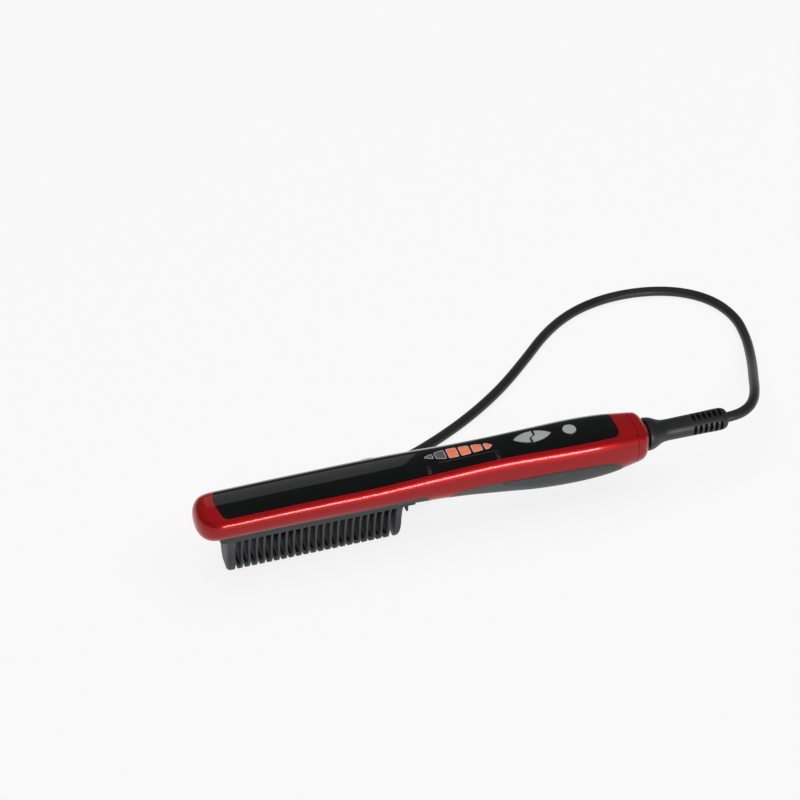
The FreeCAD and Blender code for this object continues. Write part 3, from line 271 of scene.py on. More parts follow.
CHIP = moulded("chip_black", (0.015, 0.015, 0.016), (0.022, 0.022, 0.023), (0.5, 0.6),
               1500, 0.00002)
WIRE = moulded("wire_red", (0.40, 0.02, 0.02), (0.48, 0.03, 0.03), (0.4, 0.5), 900, 0.00002)
SILVER = moulded("silver_key", (0.34, 0.345, 0.35), (0.42, 0.425, 0.43), (0.30, 0.38), 1600,
                 0.00001, 0.5, 0.3)
STEEL = metal("plain_steel", (0.52, 0.52, 0.54), 0.34)
BRASS = metal("contact_brass", (0.74, 0.52, 0.20), 0.3)
NICKEL = metal("pin_nickel", (0.70, 0.68, 0.63), 0.22)
PANE_DIM = pane("pane_dim", (0.09, 0.075, 0.088), (0.13, 0.11, 0.125), 0.0)
PANE_LIT = pane("pane_lit", (0.62, 0.13, 0.06), (0.74, 0.19, 0.09), 0.35)
PRINT_DIM = moulded("faint_print", (0.035, 0.036, 0.038), (0.05, 0.051, 0.053), (0.3, 0.4), 900,
                    0.000001)
PRINT = moulded("pale_print", (0.42, 0.42, 0.42), (0.52, 0.52, 0.52), (0.3, 0.4), 900, 0.000001)

CAD_FINISH = (
    (RED, "body_shell rear_collar"), (PANEL, "top_panel"), (GRIP, "grip_cover"),
    (PAD, "grip_pads"), (GUARD, "comb_guard"), (COATING, "heating_comb"),
    (INNER, "chassis swivel_socket swivel_core"),
    (WHITE, "heater_stones temperature_sensor indicator_leds mains_terminals"),
    (FILM, "insulation_film"), (BOARD, "control_board"),
    (STEEL, "heater_clamp thermal_fuse supply_capacitor comb_screws board_screws grip_screws"),
    (CHIP, "tact_switches power_triac microcontroller"),
    (SILVER, "power_button temperature_down_key temperature_up_key"),
    (WIRE, "heater_leads supply_leads"), (BRASS, "contact_brushes contact_rings"),
    (RUBBER, "strain_relief cord_tie plug_body"), (NICKEL, "plug_pins"))
for finish, names in CAD_FINISH:
    for name in names.split():
        nodes[name].data.materials.clear()
        nodes[name].data.materials.append(finish)

# -------- body surface
STATIONS = (12, 60, 110, 140, 165, 190, 215, 240, 260, 275, 290)
HALF = (16.7, 16.8, 17.0, 16.2, 15.3, 15.1, 16.0, 16.9, 16.4, 15.0, 13.1)
TOP = (52.7, 53.3, 53.7, 54.0, 53.6, 53.2, 53.1, 52.9, 52.0, 50.3, 48.3)
BOTTOM = (31.4, 31.4, 30.0, 27.8, 25.0, 21.1, 17.8, 17.1, 18.2, 21.1, 24.7)
FRONT_CROWN, REAR_CROWN, SIDES, BELLY = 2.5, 3.15, 3.2, 2.4
CROWN_FROM, CROWN_OVER = 150, 55
NOSE_ROUND, NOSE_TALL_ROUND, END_ROUND, END_FLAT, ROUND_POWER = 16.0, 9.0, 7.0, 0.77, 2.3
AROUND = 16.0
UNDER, OVER = -math.pi / 2, 3 * math.pi / 2
RIM, FLANGE_FRONT, RIM_END, RIM_SLOPE = 37.0, 12.6, 139.77, 1.5
SEAM, BODY_END = 277.9, 287.6
AXIS_END = BODY_END - 12


def profile(station):
    """Half width, top and bottom of the body at a station."""
    station = min(max(station, STATIONS[0]), STATIONS[-1])
    i = max(k for k in range(len(STATIONS) - 1) if STATIONS[k] <= station)
    gap = STATIONS[i + 1] - STATIONS[i]
    u = (station - STATIONS[i]) / gap

    def slope(row, k):
        if k == 0:
            return 0.0
        last = min(k + 1, len(STATIONS) - 1)
        return (row[last] - row[k - 1]) / (STATIONS[last] - STATIONS[k - 1])

    return [(1 + 2 * u) * (1 - u) ** 2 * row[i] + u * u * (3 - 2 * u) * row[i + 1]
            + gap * u * (1 - u) * ((1 - u) * slope(row, i) - u * slope(row, i + 1))
            for row in (HALF, TOP, BOTTOM)]


def share_of(value, start, length):
    """How far a value lies along a range, from 0 to 1."""
    return min(1.0, max(0.0, (value - start) / length))


def rounding(along, length):
    """The share of its full size that an end has, this far from its tip."""
    if along >= length:
        return 1.0
    return (1 - (1 - max(along, 0) / length) ** ROUND_POWER) ** (1 / ROUND_POWER)


def frame_at(station):
    """Half width, middle height and half height of the body at a station."""
    half, top, bottom = profile(station)
    tail = rounding(BODY_END - station + END_FLAT, END_ROUND)
    return (half * rounding(station, NOSE_ROUND) * tail, (top + bottom) / 2,
            (top - bottom) / 2 * rounding(station, NOSE_TALL_ROUND) * tail)


def crown(station):
    """How square the upper half is: rounder over the comb than over the grip."""
    share = share_of(station, CROWN_FROM, CROWN_OVER)
    return FRONT_CROWN + (REAR_CROWN - FRONT_CROWN) * share * share * (3 - 2 * share)


def on_body(station, turn, lift):
    """A point of the body's surface. The turn runs from the far side over the top."""
    wide, middle, tall = frame_at(station)
    c, s = math.cos(turn), math.sin(turn)
    across, power = (crown(station),) * 2 if s > 0 else (SIDES, BELLY)
    r = 1.0
    for _ in range(5):
        y_part, z_part = abs(r * c) ** across, abs(r * s) ** power
        r -= (y_part + z_part - 1) * r / (across * y_part + power * z_part)
    y, z = wide * r * c, tall * r * s
    if lift:
        slope = Vector((abs(r * c) ** (across - 1) * math.copysign(1, c) / max(wide, 1),
                        abs(r * s) ** (power - 1) * math.copysign(1, s) / max(tall, 1)))
        slope.normalize()
        y, z = y + slope.x * lift, z + slope.y * lift
    return at(station, y, middle + z)


def turn_at_offset(station, y):
    """The turn on the upper side that has this sideways offset."""
    share, power = min(abs(y) / frame_at(station)[0], 0.999), crown(station)
    return math.atan2((1 - share ** power) ** (1 / power), math.copysign(share, y))


def turn_at_height(station, z, side):
    """The turn at a height, on the far side (1) or the near side (-1)."""
    _, middle, tall = frame_at(station)
    share = (z - middle) / tall
    if share <= -1:
        return UNDER if side > 0 else OVER
    across, power = (crown(station),) * 2 if share > 0 else (SIDES, BELLY)
    turn = math.atan2(share, side * (1 - abs(share) ** power) ** (1 / across))
    return turn + 2 * math.pi if side < 0 and share < 0 else turn


def smooth_line(points, steps=10):
    """A curve through points, with slopes taken from their neighbours."""
    line = []
    for k in range(len(points) - 1):
        p = [Vector(points[min(max(i, 0), len(points) - 1)]) for i in range(k - 1, k + 3)]
        knots = [0.0]
        for a, b in zip(p, p[1:]):
            knots.append(knots[-1] + max((b - a).length, 1e-6) ** 0.5)
        for step in range(steps):
            t = knots[1] + (knots[2] - knots[1]) * step / steps
            row = p
            for level in (1, 2, 3):
                row = [((knots[i + level] - t) * row[i] + (t - knots[i]) * row[i + 1])
                       / (knots[i + level] - knots[i]) if knots[i + level] > knots[i]
                       else row[i + 1] for i in range(len(row) - 1)]
            line.append(tuple(row[0]))
    line.append(tuple(points[-1]))
    return line


# -------- mesh helpers
CLEARANCE, SHARP_ANGLE, WELD, SLIVER = 0.55, 38, 2e-6, 1e-6
ROW_STEP, COLUMN_STEP = 2.0, 1.35


def split(outline, step):
    """A closed outline with its long edges divided."""
    fine = []
    for a, b in zip(outline, outline[1:] + outline[:1]):
        parts = max(1, math.ceil(math.dist(a, b) / step))
        fine += [(a[0] + (b[0] - a[0]) * k / parts, a[1] + (b[1] - a[1]) * k / parts)
                 for k in range(parts)]
    return fine


def inside(outlines, x, y):
    """Whether each point lies in the outlines, by the even-odd rule."""
    hit = np.zeros(len(x), bool)
    for outline in outlines:
        p = np.array(outline)
        for (ax, ay), (bx, by) in zip(p, np.roll(p, -1, axis=0)):
            if ay == by:
                continue
            crosses = (ay > y) != (by > y)
            hit ^= crosses & (x < (bx - ax) * (y - ay) / (by - ay) + ax)
    return hit


def clear_of(outlines, x, y, margin):
    """Whether each point is at least a margin away from the outlines' corners."""
    far = np.ones(len(x), bool)
    for outline in outlines:
        for ax, ay in outline:
            far &= (x - ax) ** 2 + (y - ay) ** 2 > margin ** 2
    return far


def filled(outlines, rows, columns, edge):
    """Triangles that fill outlines, with a grid of points inside them."""
    fine = [split(outline, edge) for outline in outlines]
    gx, gy = (g.ravel() for g in np.meshgrid(rows, columns))
    keep = inside(fine, gx, gy)
    gx, gy = gx[keep], gy[keep]
    keep = clear_of(fine, gx, gy, edge * CLEARANCE)
    points = [Vector(p) for outline in fine for p in outline]
    points += [Vector(p) for p in zip(gx[keep], gy[keep])]
    edges, first = [], 0
    for outline in fine:
        n = len(outline)
        edges += [(first + k, first + (k + 1) % n) for k in range(n)]
        first += n
    made, _, faces = geometry.delaunay_2d_cdt(points, edges, [], 0, 1e-5)[:3]
    corners = np.array([[tuple(made[i]) for i in face] for face in faces])
    middle = corners.mean(axis=1)
    keep = inside(fine, middle[:, 0], middle[:, 1])
    return made, [face for face, wanted in zip(faces, keep) if wanted]


def built(bm, name):
    """The mesh of a finished bmesh."""
    mesh = bpy.data.meshes.new(name)
    bm.to_mesh(mesh)
    bm.free()
    return mesh


def extruded(bm, faces):
    """The new vertices of faces pulled out of a bmesh."""
    made = bmesh.ops.extrude_face_region(bm, geom=faces)["geom"]
    return [g for g in made if isinstance(g, bmesh.types.BMVert)]


def lofted(bm, rings):
    """Faces between rings of vertices, closed at both ends. Gives each gap's faces."""
    bands = [[bm.faces.new(corners) for corners in
              zip(low, low[1:] + low[:1], high[1:] + high[:1], high)]
             for low, high in zip(rings, rings[1:])]
    bm.faces.new(rings[0])
    bm.faces.new(rings[-1])
    bmesh.ops.recalc_face_normals(bm, faces=bm.faces)
    return bands


def new_object(name, mesh, finish):
    """A scene object for a mesh, with its material and smooth shading."""
    mesh.materials.clear()
    mesh.materials.append(finish)
    mesh.shade_smooth()
    mesh.set_sharp_from_angle(angle=math.radians(SHARP_ANGLE))
    piece = bpy.data.objects.new(name, mesh)
    link(piece)
    return piece


def settle(piece):
    """Turn an object's modifiers into plain mesh."""
    graph = bpy.context.evaluated_depsgraph_get()
    plain = bpy.data.meshes.new_from_object(piece.evaluated_get(graph))
    plain.name = piece.name
    piece.modifiers.clear()
    piece.data = plain
    return piece


def soften(piece, width, segments=2, angle=40):
    """Round the sharp edges of a piece."""
    bevel = piece.modifiers.new("edges", "BEVEL")
    bevel.width, bevel.segments = width * MM, segments
    bevel.limit_method, bevel.angle_limit = "ANGLE", math.radians(angle)
    bevel.harden_normals = True
    return settle(piece)


def unrolled(station):
    """A station as a distance along the surface, so that the round nose has even rows."""
    if station >= NOSE_ROUND:
        return station - NOSE_ROUND + NOSE_ROUND * math.pi / 2
    return NOSE_ROUND * math.acos(1 - max(station, 0) / NOSE_ROUND)


def rolled(along):
    """The station at a distance along the surface."""
    if along >= NOSE_ROUND * math.pi / 2:
        return along + NOSE_ROUND - NOSE_ROUND * math.pi / 2
    return NOSE_ROUND * (1 - math.cos(along / NOSE_ROUND))


def outward(face):
    """The way out of the body at a face."""
    middle = face.calc_center_median()
    station = min(max(middle.x / MM - NOSE, NOSE_ROUND), AXIS_END)
    return middle - at(station, 0, frame_at(station)[1])


def skin(name, outlines, finish, rows, columns, thick, lift=0.0, edge=1.2, bevel=0.2):
    """A panel of the body's surface, given as outlines of (station, turn x AROUND)."""
    points, faces = filled([[(unrolled(s), v) for s, v in outline] for outline in outlines],
                           [unrolled(s) for s in rows], columns, edge)
    bm = bmesh.new()
    verts = [bm.verts.new(on_body(rolled(p[0]), p[1] / AROUND, lift)) for p in points]
    for face in faces:
        bm.faces.new([verts[i] for i in reversed(face)])
    bmesh.ops.remove_doubles(bm, verts=bm.verts, dist=WELD)
    bmesh.ops.dissolve_degenerate(bm, dist=SLIVER, edges=bm.edges)
    bmesh.ops.delete(bm, geom=[v for v in bm.verts if not v.link_faces], context="VERTS")
    bm.normal_update()
    bmesh.ops.reverse_faces(bm, faces=[f for f in bm.faces if f.normal.dot(outward(f)) < 0])
    piece = new_object(name, built(bm, name), finish)
    solid = piece.modifiers.new("wall", "SOLIDIFY")
    solid.thickness, solid.offset = thick * MM, -1
    settle(piece)
    return soften(piece, bevel)


def spaced(low, high, step):
    """Evenly spaced values inside a range."""
    count = max(1, round((high - low) / step))
    return [low + (high - low) * (k + 0.5) / count for k in range(count)]


def lens_half(half_long, half_wide, x):
    """Half width of a lens at an offset along it."""
    radius = (half_long ** 2 + half_wide ** 2) / (2 * half_wide)
    return math.sqrt(radius ** 2 - x ** 2) - radius + half_wide


def lens(half_long, half_wide, count=24):
    """Outline of a lens: two arcs that meet at points."""
    steps = [-half_long + 2 * half_long * k / count for k in range(count)]
    arc = [(x, -lens_half(half_long, half_wide, x)) for x in steps]
    return arc + [(-x, -y) for x, y in arc]


def grown(outline, reach):
    """A convex outline pushed outwards by a distance."""
    p = [Vector(q) for q in outline]
    turns = sum((b - a).cross(c - b) for a, b, c in zip(p, p[1:] + p[:1], p[2:] + p[:2]))
    sign = 1 if turns > 0 else -1
    made = []
    for before, here, after in zip(p[-1:] + p[:-1], p, p[1:] + p[:1]):
        a, b = (here - before).normalized(), (after - here).normalized()
        normal_a, normal_b = Vector((a.y, -a.x)) * sign, Vector((b.y, -b.x)) * sign
        mitre = normal_a + normal_b
        made.append(tuple(here + mitre * reach / max(mitre.dot(normal_a), 0.35)))
    return made


def pushed(outline, reach):
    """A smooth outline pushed outwards by a distance, whatever its shape."""
    area = sum(a[0] * b[1] - b[0] * a[1] for a, b in zip(outline, outline[1:] + outline[:1]))
    made = []
    for before, here, after in zip(outline[-1:] + outline[:-1], outline,
                                   outline[1:] + outline[:1]):
        along = Vector(after) - Vector(before)
        away = Vector((along.y, -along.x)).normalized() * math.copysign(reach, area)
        made.append((here[0] + away.x, here[1] + away.y))
    return made


# -------- painted body
BOTTOM_LINE, TOP_LINE = UNDER * AROUND, OVER * AROUND
PANEL_FRONT, PANEL_BOW, PANEL_REAR = 13.2, 3.2, 266.4
PANEL_FRONT_ROUND, PANEL_ROUND = 2.8, 5.0
PANEL_EDGE, PANEL_NARROWS, NARROWS_FROM, NARROWS_OVER = 3.5, 1.2, 110, 150
GRIP_FRONT, GRIP_REAR = 153.4, 268.5
SEAM_WIDE, RING_INSET, SHELL_WALL, WRAP = 0.3, 0.15, 1.7, 1.5 * AROUND
SMALL_EDGE, SMALL_STEP = 0.7, 0.8


def near_and_far(line):
    """A side line given as (station, height), as far and near lines of the skin's plane."""
    far = [(s, turn_at_height(s, z, 1) * AROUND) for s, z in line]
    return far, [(s, turn_at_height(s, z, -1) * AROUND) for s, z in reversed(line)]


def below(line):
    """The same, both lines counted from below, for a piece that wraps the underside."""
    far, near = near_and_far(line)
    return far + [(s, v - 2 * math.pi * AROUND) for s, v in near]


def lower_columns(step):
    """Columns of points around the lower side of the body."""
    return spaced(BOTTOM_LINE - WRAP, BOTTOM_LINE + WRAP, step)


def tail_line():
    """The rim from the flange to the slanted end of the guard's tail."""
    line = [(FLANGE_FRONT, 0), (FLANGE_FRONT, RIM)]
    line += [(s, RIM) for s in np.linspace(18, RIM_END - 2, 40)] + [(RIM_END, RIM)]
    line += [(RIM_END + (RIM - z) / RIM_SLOPE, z) for z in np.linspace(35, 25, 8)]
    return line


def grip_line(inset=0.0):
    """The edge of the soft grip, from its front around its line to its rear."""
    rows = [(GRIP_FRONT, 25.4), (155.2, 29.4), (160.6, 33.7), (169.5, 35.1), (200, 35.0),
            (230, 35.0), (256, 33.6), (264.4, 30.8), (267.6, 27.6), (268.3, 25), (266.5, 21.5)]
    middle = (GRIP_FRONT + GRIP_REAR) / 2
    line = [(s + math.copysign(inset, middle - s), z - inset) for s, z in smooth_line(rows)]
    return [(line[0][0], 15)] + line + [(line[-1][0], 10)]


def panel_half(station):
    """Half width of the control panel."""
    share = share_of(station, NARROWS_FROM, NARROWS_OVER)
    return profile(station)[0] - PANEL_EDGE - share * PANEL_NARROWS


def round_corner(before, corner, after, radius, steps=6):
    """Points of a smooth turn at a corner of an outline."""
    before, corner, after = Vector(before), Vector(corner), Vector(after)
    a = corner + (before - corner).normalized() * radius
    b = corner + (after - corner).normalized() * radius
    return [tuple(a * (1 - u) ** 2 + corner * 2 * u * (1 - u) + b * u * u)
            for u in (k / steps for k in range(steps + 1))]


def panel_outline(grow=0.0):
    """Outline of the control panel as (station, turn x AROUND)."""
    front, rear = PANEL_FRONT + PANEL_BOW, PANEL_REAR
    reach = panel_half(front)
    bow = [(front - PANEL_BOW * (1 - (y / reach) ** 2), y)
           for y in np.linspace(0, -reach, 14)]
    side = [(s, -panel_half(s)) for s in np.linspace(front, rear, 90)]
    near = ([p for p in bow if p[1] > -reach + PANEL_FRONT_ROUND]
            + round_corner(bow[-4], bow[-1], side[3], PANEL_FRONT_ROUND)
            + [p for p in side if front + PANEL_FRONT_ROUND < p[0] < rear - PANEL_ROUND]
            + round_corner(side[-4], side[-1], (rear, 0), PANEL_ROUND))
    outline = near + [(s, -y) for s, y in reversed(near[1:])]
    return [(s, turn_at_offset(s, y) * AROUND) for s, y in pushed(outline, grow)]


def on_panel(outline):
    """An outline in station and offset, as (station, turn x AROUND)."""
    return [(s, turn_at_offset(s, y) * AROUND) for s, y in split(outline, SMALL_EDGE)]


nose_rows = [rolled(a) for a in np.linspace(0.7, NOSE_ROUND * math.pi / 2 - 0.6, 20)]
body_rows = nose_rows + spaced(NOSE_ROUND, SEAM, ROW_STEP)
body_columns = spaced(BOTTOM_LINE, TOP_LINE, COLUMN_STEP)

tail_far, tail_near = near_and_far(tail_line())
grip_far, grip_near = near_and_far(grip_line())
shell_outline = ([(0, BOTTOM_LINE)] + tail_far + grip_far + [(SEAM, BOTTOM_LINE)]
                 + [(SEAM, TOP_LINE)] + grip_near + tail_near + [(0, TOP_LINE)])
body = skin("painted_body", [shell_outline, panel_outline(0.15)], RED, body_rows,
            body_columns, thick=SHELL_WALL)
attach(body, "handle")
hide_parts("body_shell")

ring_front, ring_rear = SEAM + SEAM_WIDE, BODY_END - RING_INSET
collar = skin("rear_ring", [[(ring_front, BOTTOM_LINE), (ring_front, TOP_LINE),
                             (ring_rear, TOP_LINE), (ring_rear, BOTTOM_LINE)]],
              RED, spaced(SEAM + 1, BODY_END - 4, 1.5)
              + [BODY_END - 3.7 * (1 - math.sin(a)) for a in np.linspace(0, 1.4, 9)],
              body_columns, thick=SHELL_WALL)
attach(collar, "handle")
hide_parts("rear_collar")

# -------- control panel
KEYS_AT, KEYS_LONG, KEYS_WIDE, KEYS_GAP, KEYS_STEP = 212.6, 12.3, 4.9, 0.75, 1.6
KEYS_SLANT, KEYS_CLEAR = 1.0, 0.15
POWER_AT, POWER_ROUND, CIRCLE_STEPS = 236.8, 4.3, 40
WINDOW_AT, WINDOW_PITCH, WINDOW_LONG, WINDOW_HALF = 142.0, 7.85, 7.1, 4.6
WINDOWS, WINDOW_INSET, WINDOW_ROUND, PANE_GAP, FRAME_WIDE = 6, 0.62, 0.7, 0.06, 0.36
LAST_SHOULDER, LAST_TIP, FIRST_LIT = 2.6, 6.4, 2
KEY_GAP, CAP_LIFT, CAP_THICK, RING_LIFT, RING_THICK = 0.3, 0.75, 2.6, 0.32, 0.5
INK_LIFT, INK_THICK, INK_BEVEL = 0.13, 0.05, 0.01


def rounded(outline, radius):
    """An outline with each corner turned."""
    turned = []
    for before, here, after in zip(outline[-1:] + outline[:-1], outline,
                                   outline[1:] + outline[:1]):
        turned += round_corner(before, here, after, radius, 4)
    return turned


def circle(radius):
    """Outline of a circle about the power button."""
    turns = [2 * math.pi * k / CIRCLE_STEPS for k in range(CIRCLE_STEPS)]
    return [(POWER_AT + radius * math.cos(a), radius * math.sin(a)) for a in turns]


def key_half(sign):
    """Outline of the front (-1) or rear (1) temperature key."""
    low, high = -KEYS_STEP + sign * KEYS_GAP, KEYS_STEP + sign * KEYS_GAP
    outline = []
    for x, y in lens(KEYS_LONG, KEYS_WIDE, 40):
        seam = low + (high - low) * share_of(y, -KEYS_SLANT, 2 * KEYS_SLANT)
        if (x - seam) * sign > KEYS_CLEAR:
            outline.append((KEYS_AT + x, y))
    outline.sort(key=lambda q: math.atan2(q[1], (q[0] - KEYS_AT) * sign))
    return outline + [(KEYS_AT + high, lens_half(KEYS_LONG, KEYS_WIDE, high)),
                      (KEYS_AT + high, KEYS_SLANT), (KEYS_AT + low, -KEYS_SLANT),
                      (KEYS_AT + low, -lens_half(KEYS_LONG, KEYS_WIDE, low))]


def window_outline(index):
    """Outline of one level window: pointed first and last, trapezia between."""
    start = WINDOW_AT + index * WINDOW_PITCH
    end = start + WINDOW_LONG

    def half(x):
        share = (x - WINDOW_AT) / (WINDOWS * WINDOW_PITCH)
        return WINDOW_HALF * min(1.0, 0.3 + 2.2 * share, 1.62 - 1.15 * share)

    if index == 0:
        return [(start, 0), (end, -half(end)), (end, half(end))]
    if index == WINDOWS - 1:
        shoulder = start + LAST_SHOULDER
        return [(start, -half(start)), (shoulder, -half(start)), (start + LAST_TIP, 0),
                (shoulder, half(start)), (start, half(start))]
    return [(start, -half(start)), (end, -half(end)), (end, half(end)), (start, half(start))]


window_outlines = [rounded(grown(window_outline(k), -WINDOW_INSET), WINDOW_ROUND)
                   for k in range(WINDOWS)]
keys_outline = [(KEYS_AT + x, y) for x, y in lens(KEYS_LONG + KEY_GAP, KEYS_WIDE + KEY_GAP)]
power_outline = circle(POWER_ROUND + KEY_GAP)
panel_rows = [13.6, 14.2, 14.8] + spaced(15.0, PANEL_REAR, ROW_STEP)
panel_columns = spaced(0.1 * AROUND, (math.pi - 0.1) * AROUND, 1.2)
panel = skin("gloss_panel",
             [panel_outline(), on_panel(keys_outline), on_panel(power_outline)]
             + [on_panel(w) for w in window_outlines],
             PANEL, panel_rows, panel_columns, lift=0.08, thick=1.8, edge=1.0, bevel=0.25)
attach(panel, "handle")
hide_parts("top_panel")


def panel_piece(name, outline, finish, lift, thick, bevel, holes=()):
    """A small piece that follows the panel's surface."""
    low, high = min(s for s, _ in outline), max(s for s, _ in outline)
    reach = max(abs(y) for _, y in outline)
    lowest, highest = turn_at_offset(low, reach), turn_at_offset(low, -reach)
    return skin(name, [on_panel(outline)] + [on_panel(h) for h in holes], finish,
                spaced(low, high, SMALL_STEP),
                spaced(lowest * AROUND, highest * AROUND, SMALL_STEP),
                lift=lift, thick=thick, edge=SMALL_EDGE, bevel=bevel)


for index, outline in enumerate(window_outlines):
    lit = index >= FIRST_LIT
    pane = panel_piece(f"level_pane_{index + 1}", pushed(outline, -PANE_GAP),
                       PANE_LIT if lit else PANE_DIM, 0.03, 1.2, 0.1)
    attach(pane, "handle")
    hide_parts(f"level_window_{index + 1}")
    line = panel_piece(f"level_frame_{index + 1}", pushed(outline, FRAME_WIDE), PRINT,
                       INK_LIFT, INK_THICK, INK_BEVEL, holes=[outline])
    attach(line, "handle")

for name, sign in (("temperature_down_key", -1), ("temperature_up_key", 1)):
    cap = panel_piece(name.replace("temperature_", "cap_"), key_half(sign), SILVER, CAP_LIFT,
                      CAP_THICK, 0.45)
    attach(cap, name)
    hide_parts(name)
cap = panel_piece("cap_power", circle(POWER_ROUND), SILVER, CAP_LIFT, CAP_THICK, 0.5)
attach(cap, "power_button")
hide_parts("power_button")
for name, outline, hole in (
        ("keys_surround", [(KEYS_AT + x, y) for x, y in lens(KEYS_LONG + 1.5, KEYS_WIDE + 1.1)],
         keys_outline),
        ("power_surround", circle(POWER_ROUND + 1.2), power_outline)):
    ring = panel_piece(name, outline, PANEL, RING_LIFT, RING_THICK, 0.12, holes=[hole])
    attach(ring, "handle")


def printed(name, words, station, y, tall):
    """Small plain figures on the panel, read from the near side of the body's rear end."""
    data = bpy.data.curves.new(name, "FONT")
    data.body, data.size = words, tall
    data.align_x, data.align_y = "CENTER", "CENTER"
    text = bpy.data.objects.new(name, data)
    link(text)
    flat = bpy.data.meshes.new_from_object(
        text.evaluated_get(bpy.context.evaluated_depsgraph_get()))
    bpy.data.objects.remove(text)
    for vertex in flat.vertices:
        s, offset = station + vertex.co.y, y - vertex.co.x
        vertex.co = on_body(s, turn_at_offset(s, offset), INK_LIFT)
    piece = new_object(name, flat, PRINT_DIM)
    solid = piece.modifiers.new("ink", "SOLIDIFY")
    solid.thickness, solid.offset = INK_THICK * MM, 0
    return settle(piece)


scale_line = [(150.5, -6.4), (188.5, -5.4), (188.5, -5.1), (150.5, -6.1)]
prints = [printed("number_low", "120", 143.5, -9.4, 3.4),
          printed("number_high", "220", 187.5, -8.6, 3.4),
          panel_piece("scale_line", scale_line, PRINT_DIM, 0.12, INK_THICK, INK_BEVEL)]
for piece in prints:
    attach(piece, "handle")

# -------- grip
PAD_FRONT, PAD_REAR = 188.5, 266.3


def pad_outline(side, grow):
    """Lens-shaped outline of a thumb pad on one side."""
    front, rear = (PAD_FRONT, 34.3), (PAD_REAR, 26.5)
    upper = [front, (200, 34.5), (230, 34.5), (254, 33.2), (262.5, 30.6), rear]
    lower = [rear, (252, 24.4), (238, 24.2), (220, 25.1), (208, 26.6), (197.5, 29.2),
             (191, 31.8), front]
    outline = [(s, z + grow) for s, z in smooth_line(upper)[:-1]]
    outline += [(s, z - grow) for s, z in smooth_line(lower)[:-1]]
    turns = [(s, turn_at_height(s, z, side)) for s, z in outline]
    return [(s, (t - 2 * math.pi if side < 0 else t) * AROUND) for s, t in turns]


grip = skin("soft_grip", [below(grip_line(0.15)), pad_outline(1, 0.1), pad_outline(-1, 0.1)],
            GRIP, spaced(GRIP_FRONT, GRIP_REAR, ROW_STEP), lower_columns(COLUMN_STEP),
            lift=0.05, thick=1.8, bevel=0.35)
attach(grip, "handle")
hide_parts("grip_cover")
for side, word in ((1, "far"), (-1, "near")):
    pad = skin(f"thumb_pad_{word}", [pad_outline(side, -0.05)], PAD,
               spaced(PAD_FRONT, PAD_REAR, 1.6), lower_columns(1.1),
               lift=0.25, thick=1.4, edge=1.0, bevel=0.4)
    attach(pad, "handle")
    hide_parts("grip_pads")

# -------- comb guard
COMB_FRONT, COMB_REAR, OPENING_HALF = 21.95, 121.85, 11.1
TOOTH_FIRST, TOOTH_PITCH, TOOTH_COUNT, TOOTH_THICK, TOOTH_FOOT = 25.9, 4.6, 21, 1.3, 1.4
TOOTH_WALL, TOOTH_SOLE, FOOT_HIGH = 2.4, 2.7, 8
FLANGE_HALF, FLANGE_LOW, FLANGE_REAR, FLANGE_ROUND = 14.6, 31.2, 133.7, 4.0
PLATE_TOP, PLATE_EDGE = RIM - 0.3, 2.0
BLOCK_FRONT, BLOCK_REAR, BLOCK_ROUND = 17.0, 125.75, 3.0
FRONT_FOOT, FRONT_DRAWN, REAR_FOOT, REAR_LEAN = 3.4, 2.4, 17.6, 2.9
BLOCK_HEIGHTS = (0, 0.25, 0.6, 1.2, 2, 3.4, 5, 7, 10, 14, 18, 22, 26, 29, 31.6, 33)
TAIL_HALF, TAIL_LOW, TAIL_SLANT, TAIL_MORE = 14.0, 32.6, 33.5, 1.5
STUB_PITCH, STUB_HALF_THICK, STUB_HALF, STUB_DEEP, STUB_TOP = 2.4, 0.75, 11, 7, 33
STUB_SHARES = (0.45, 1.0, 0.4)
TOOTH_SIDE = [(0.0, 2.6), (0.25, 3.8), (0.9, 5.0), (2.0, 6.3), (3.5, 7.5), (5.2, 8.5),
              (7.5, 9.4), (11.0, 10.1), (18.0, 10.6), (25.0, 12.0), (29.0, 13.5),
              (31.6, 14.4), (33.4, 14.4)]


def tooth_half(z):
    """Half width of a tooth at a height."""
    heights, halves = zip(*TOOTH_SIDE)
    return float(np.interp(z, heights, halves))


def turn_below(station, y):
    """The turn on the underside that has this sideways offset."""
    share = min(abs(y) / frame_at(station)[0], 0.999)
    return math.atan2(-(1 - share ** SIDES) ** (1 / BELLY), math.copysign(share, y))


def rectangle(front, rear, half):
    """Outline of a rectangle along the body."""
    return [(front, -half), (rear, -half), (rear, half), (front, half)]


OPENING = rectangle(COMB_FRONT, COMB_REAR, OPENING_HALF)


def plan(front, rear, half, corner, steps=6):
    """Outline that is square behind and has its front corners turned."""
    return ([(rear, half), (rear, -half)]
            + round_corner((rear, -half), (front, -half), (front, 0), corner, steps)
            + round_corner((front, 0), (front, half), (rear, half), corner, steps))


def guard_skin():
    """The guard's part of the body's surface, open over the comb."""
    hole = [(s, turn_below(s, y) * AROUND) for s, y in split(OPENING, 1.5)]
    return skin("guard_skin", [below(tail_line()), hole], GUARD,
                spaced(FLANGE_FRONT, RIM_END + 6, ROW_STEP), lower_columns(COLUMN_STEP),
                thick=1.6, bevel=0.3)


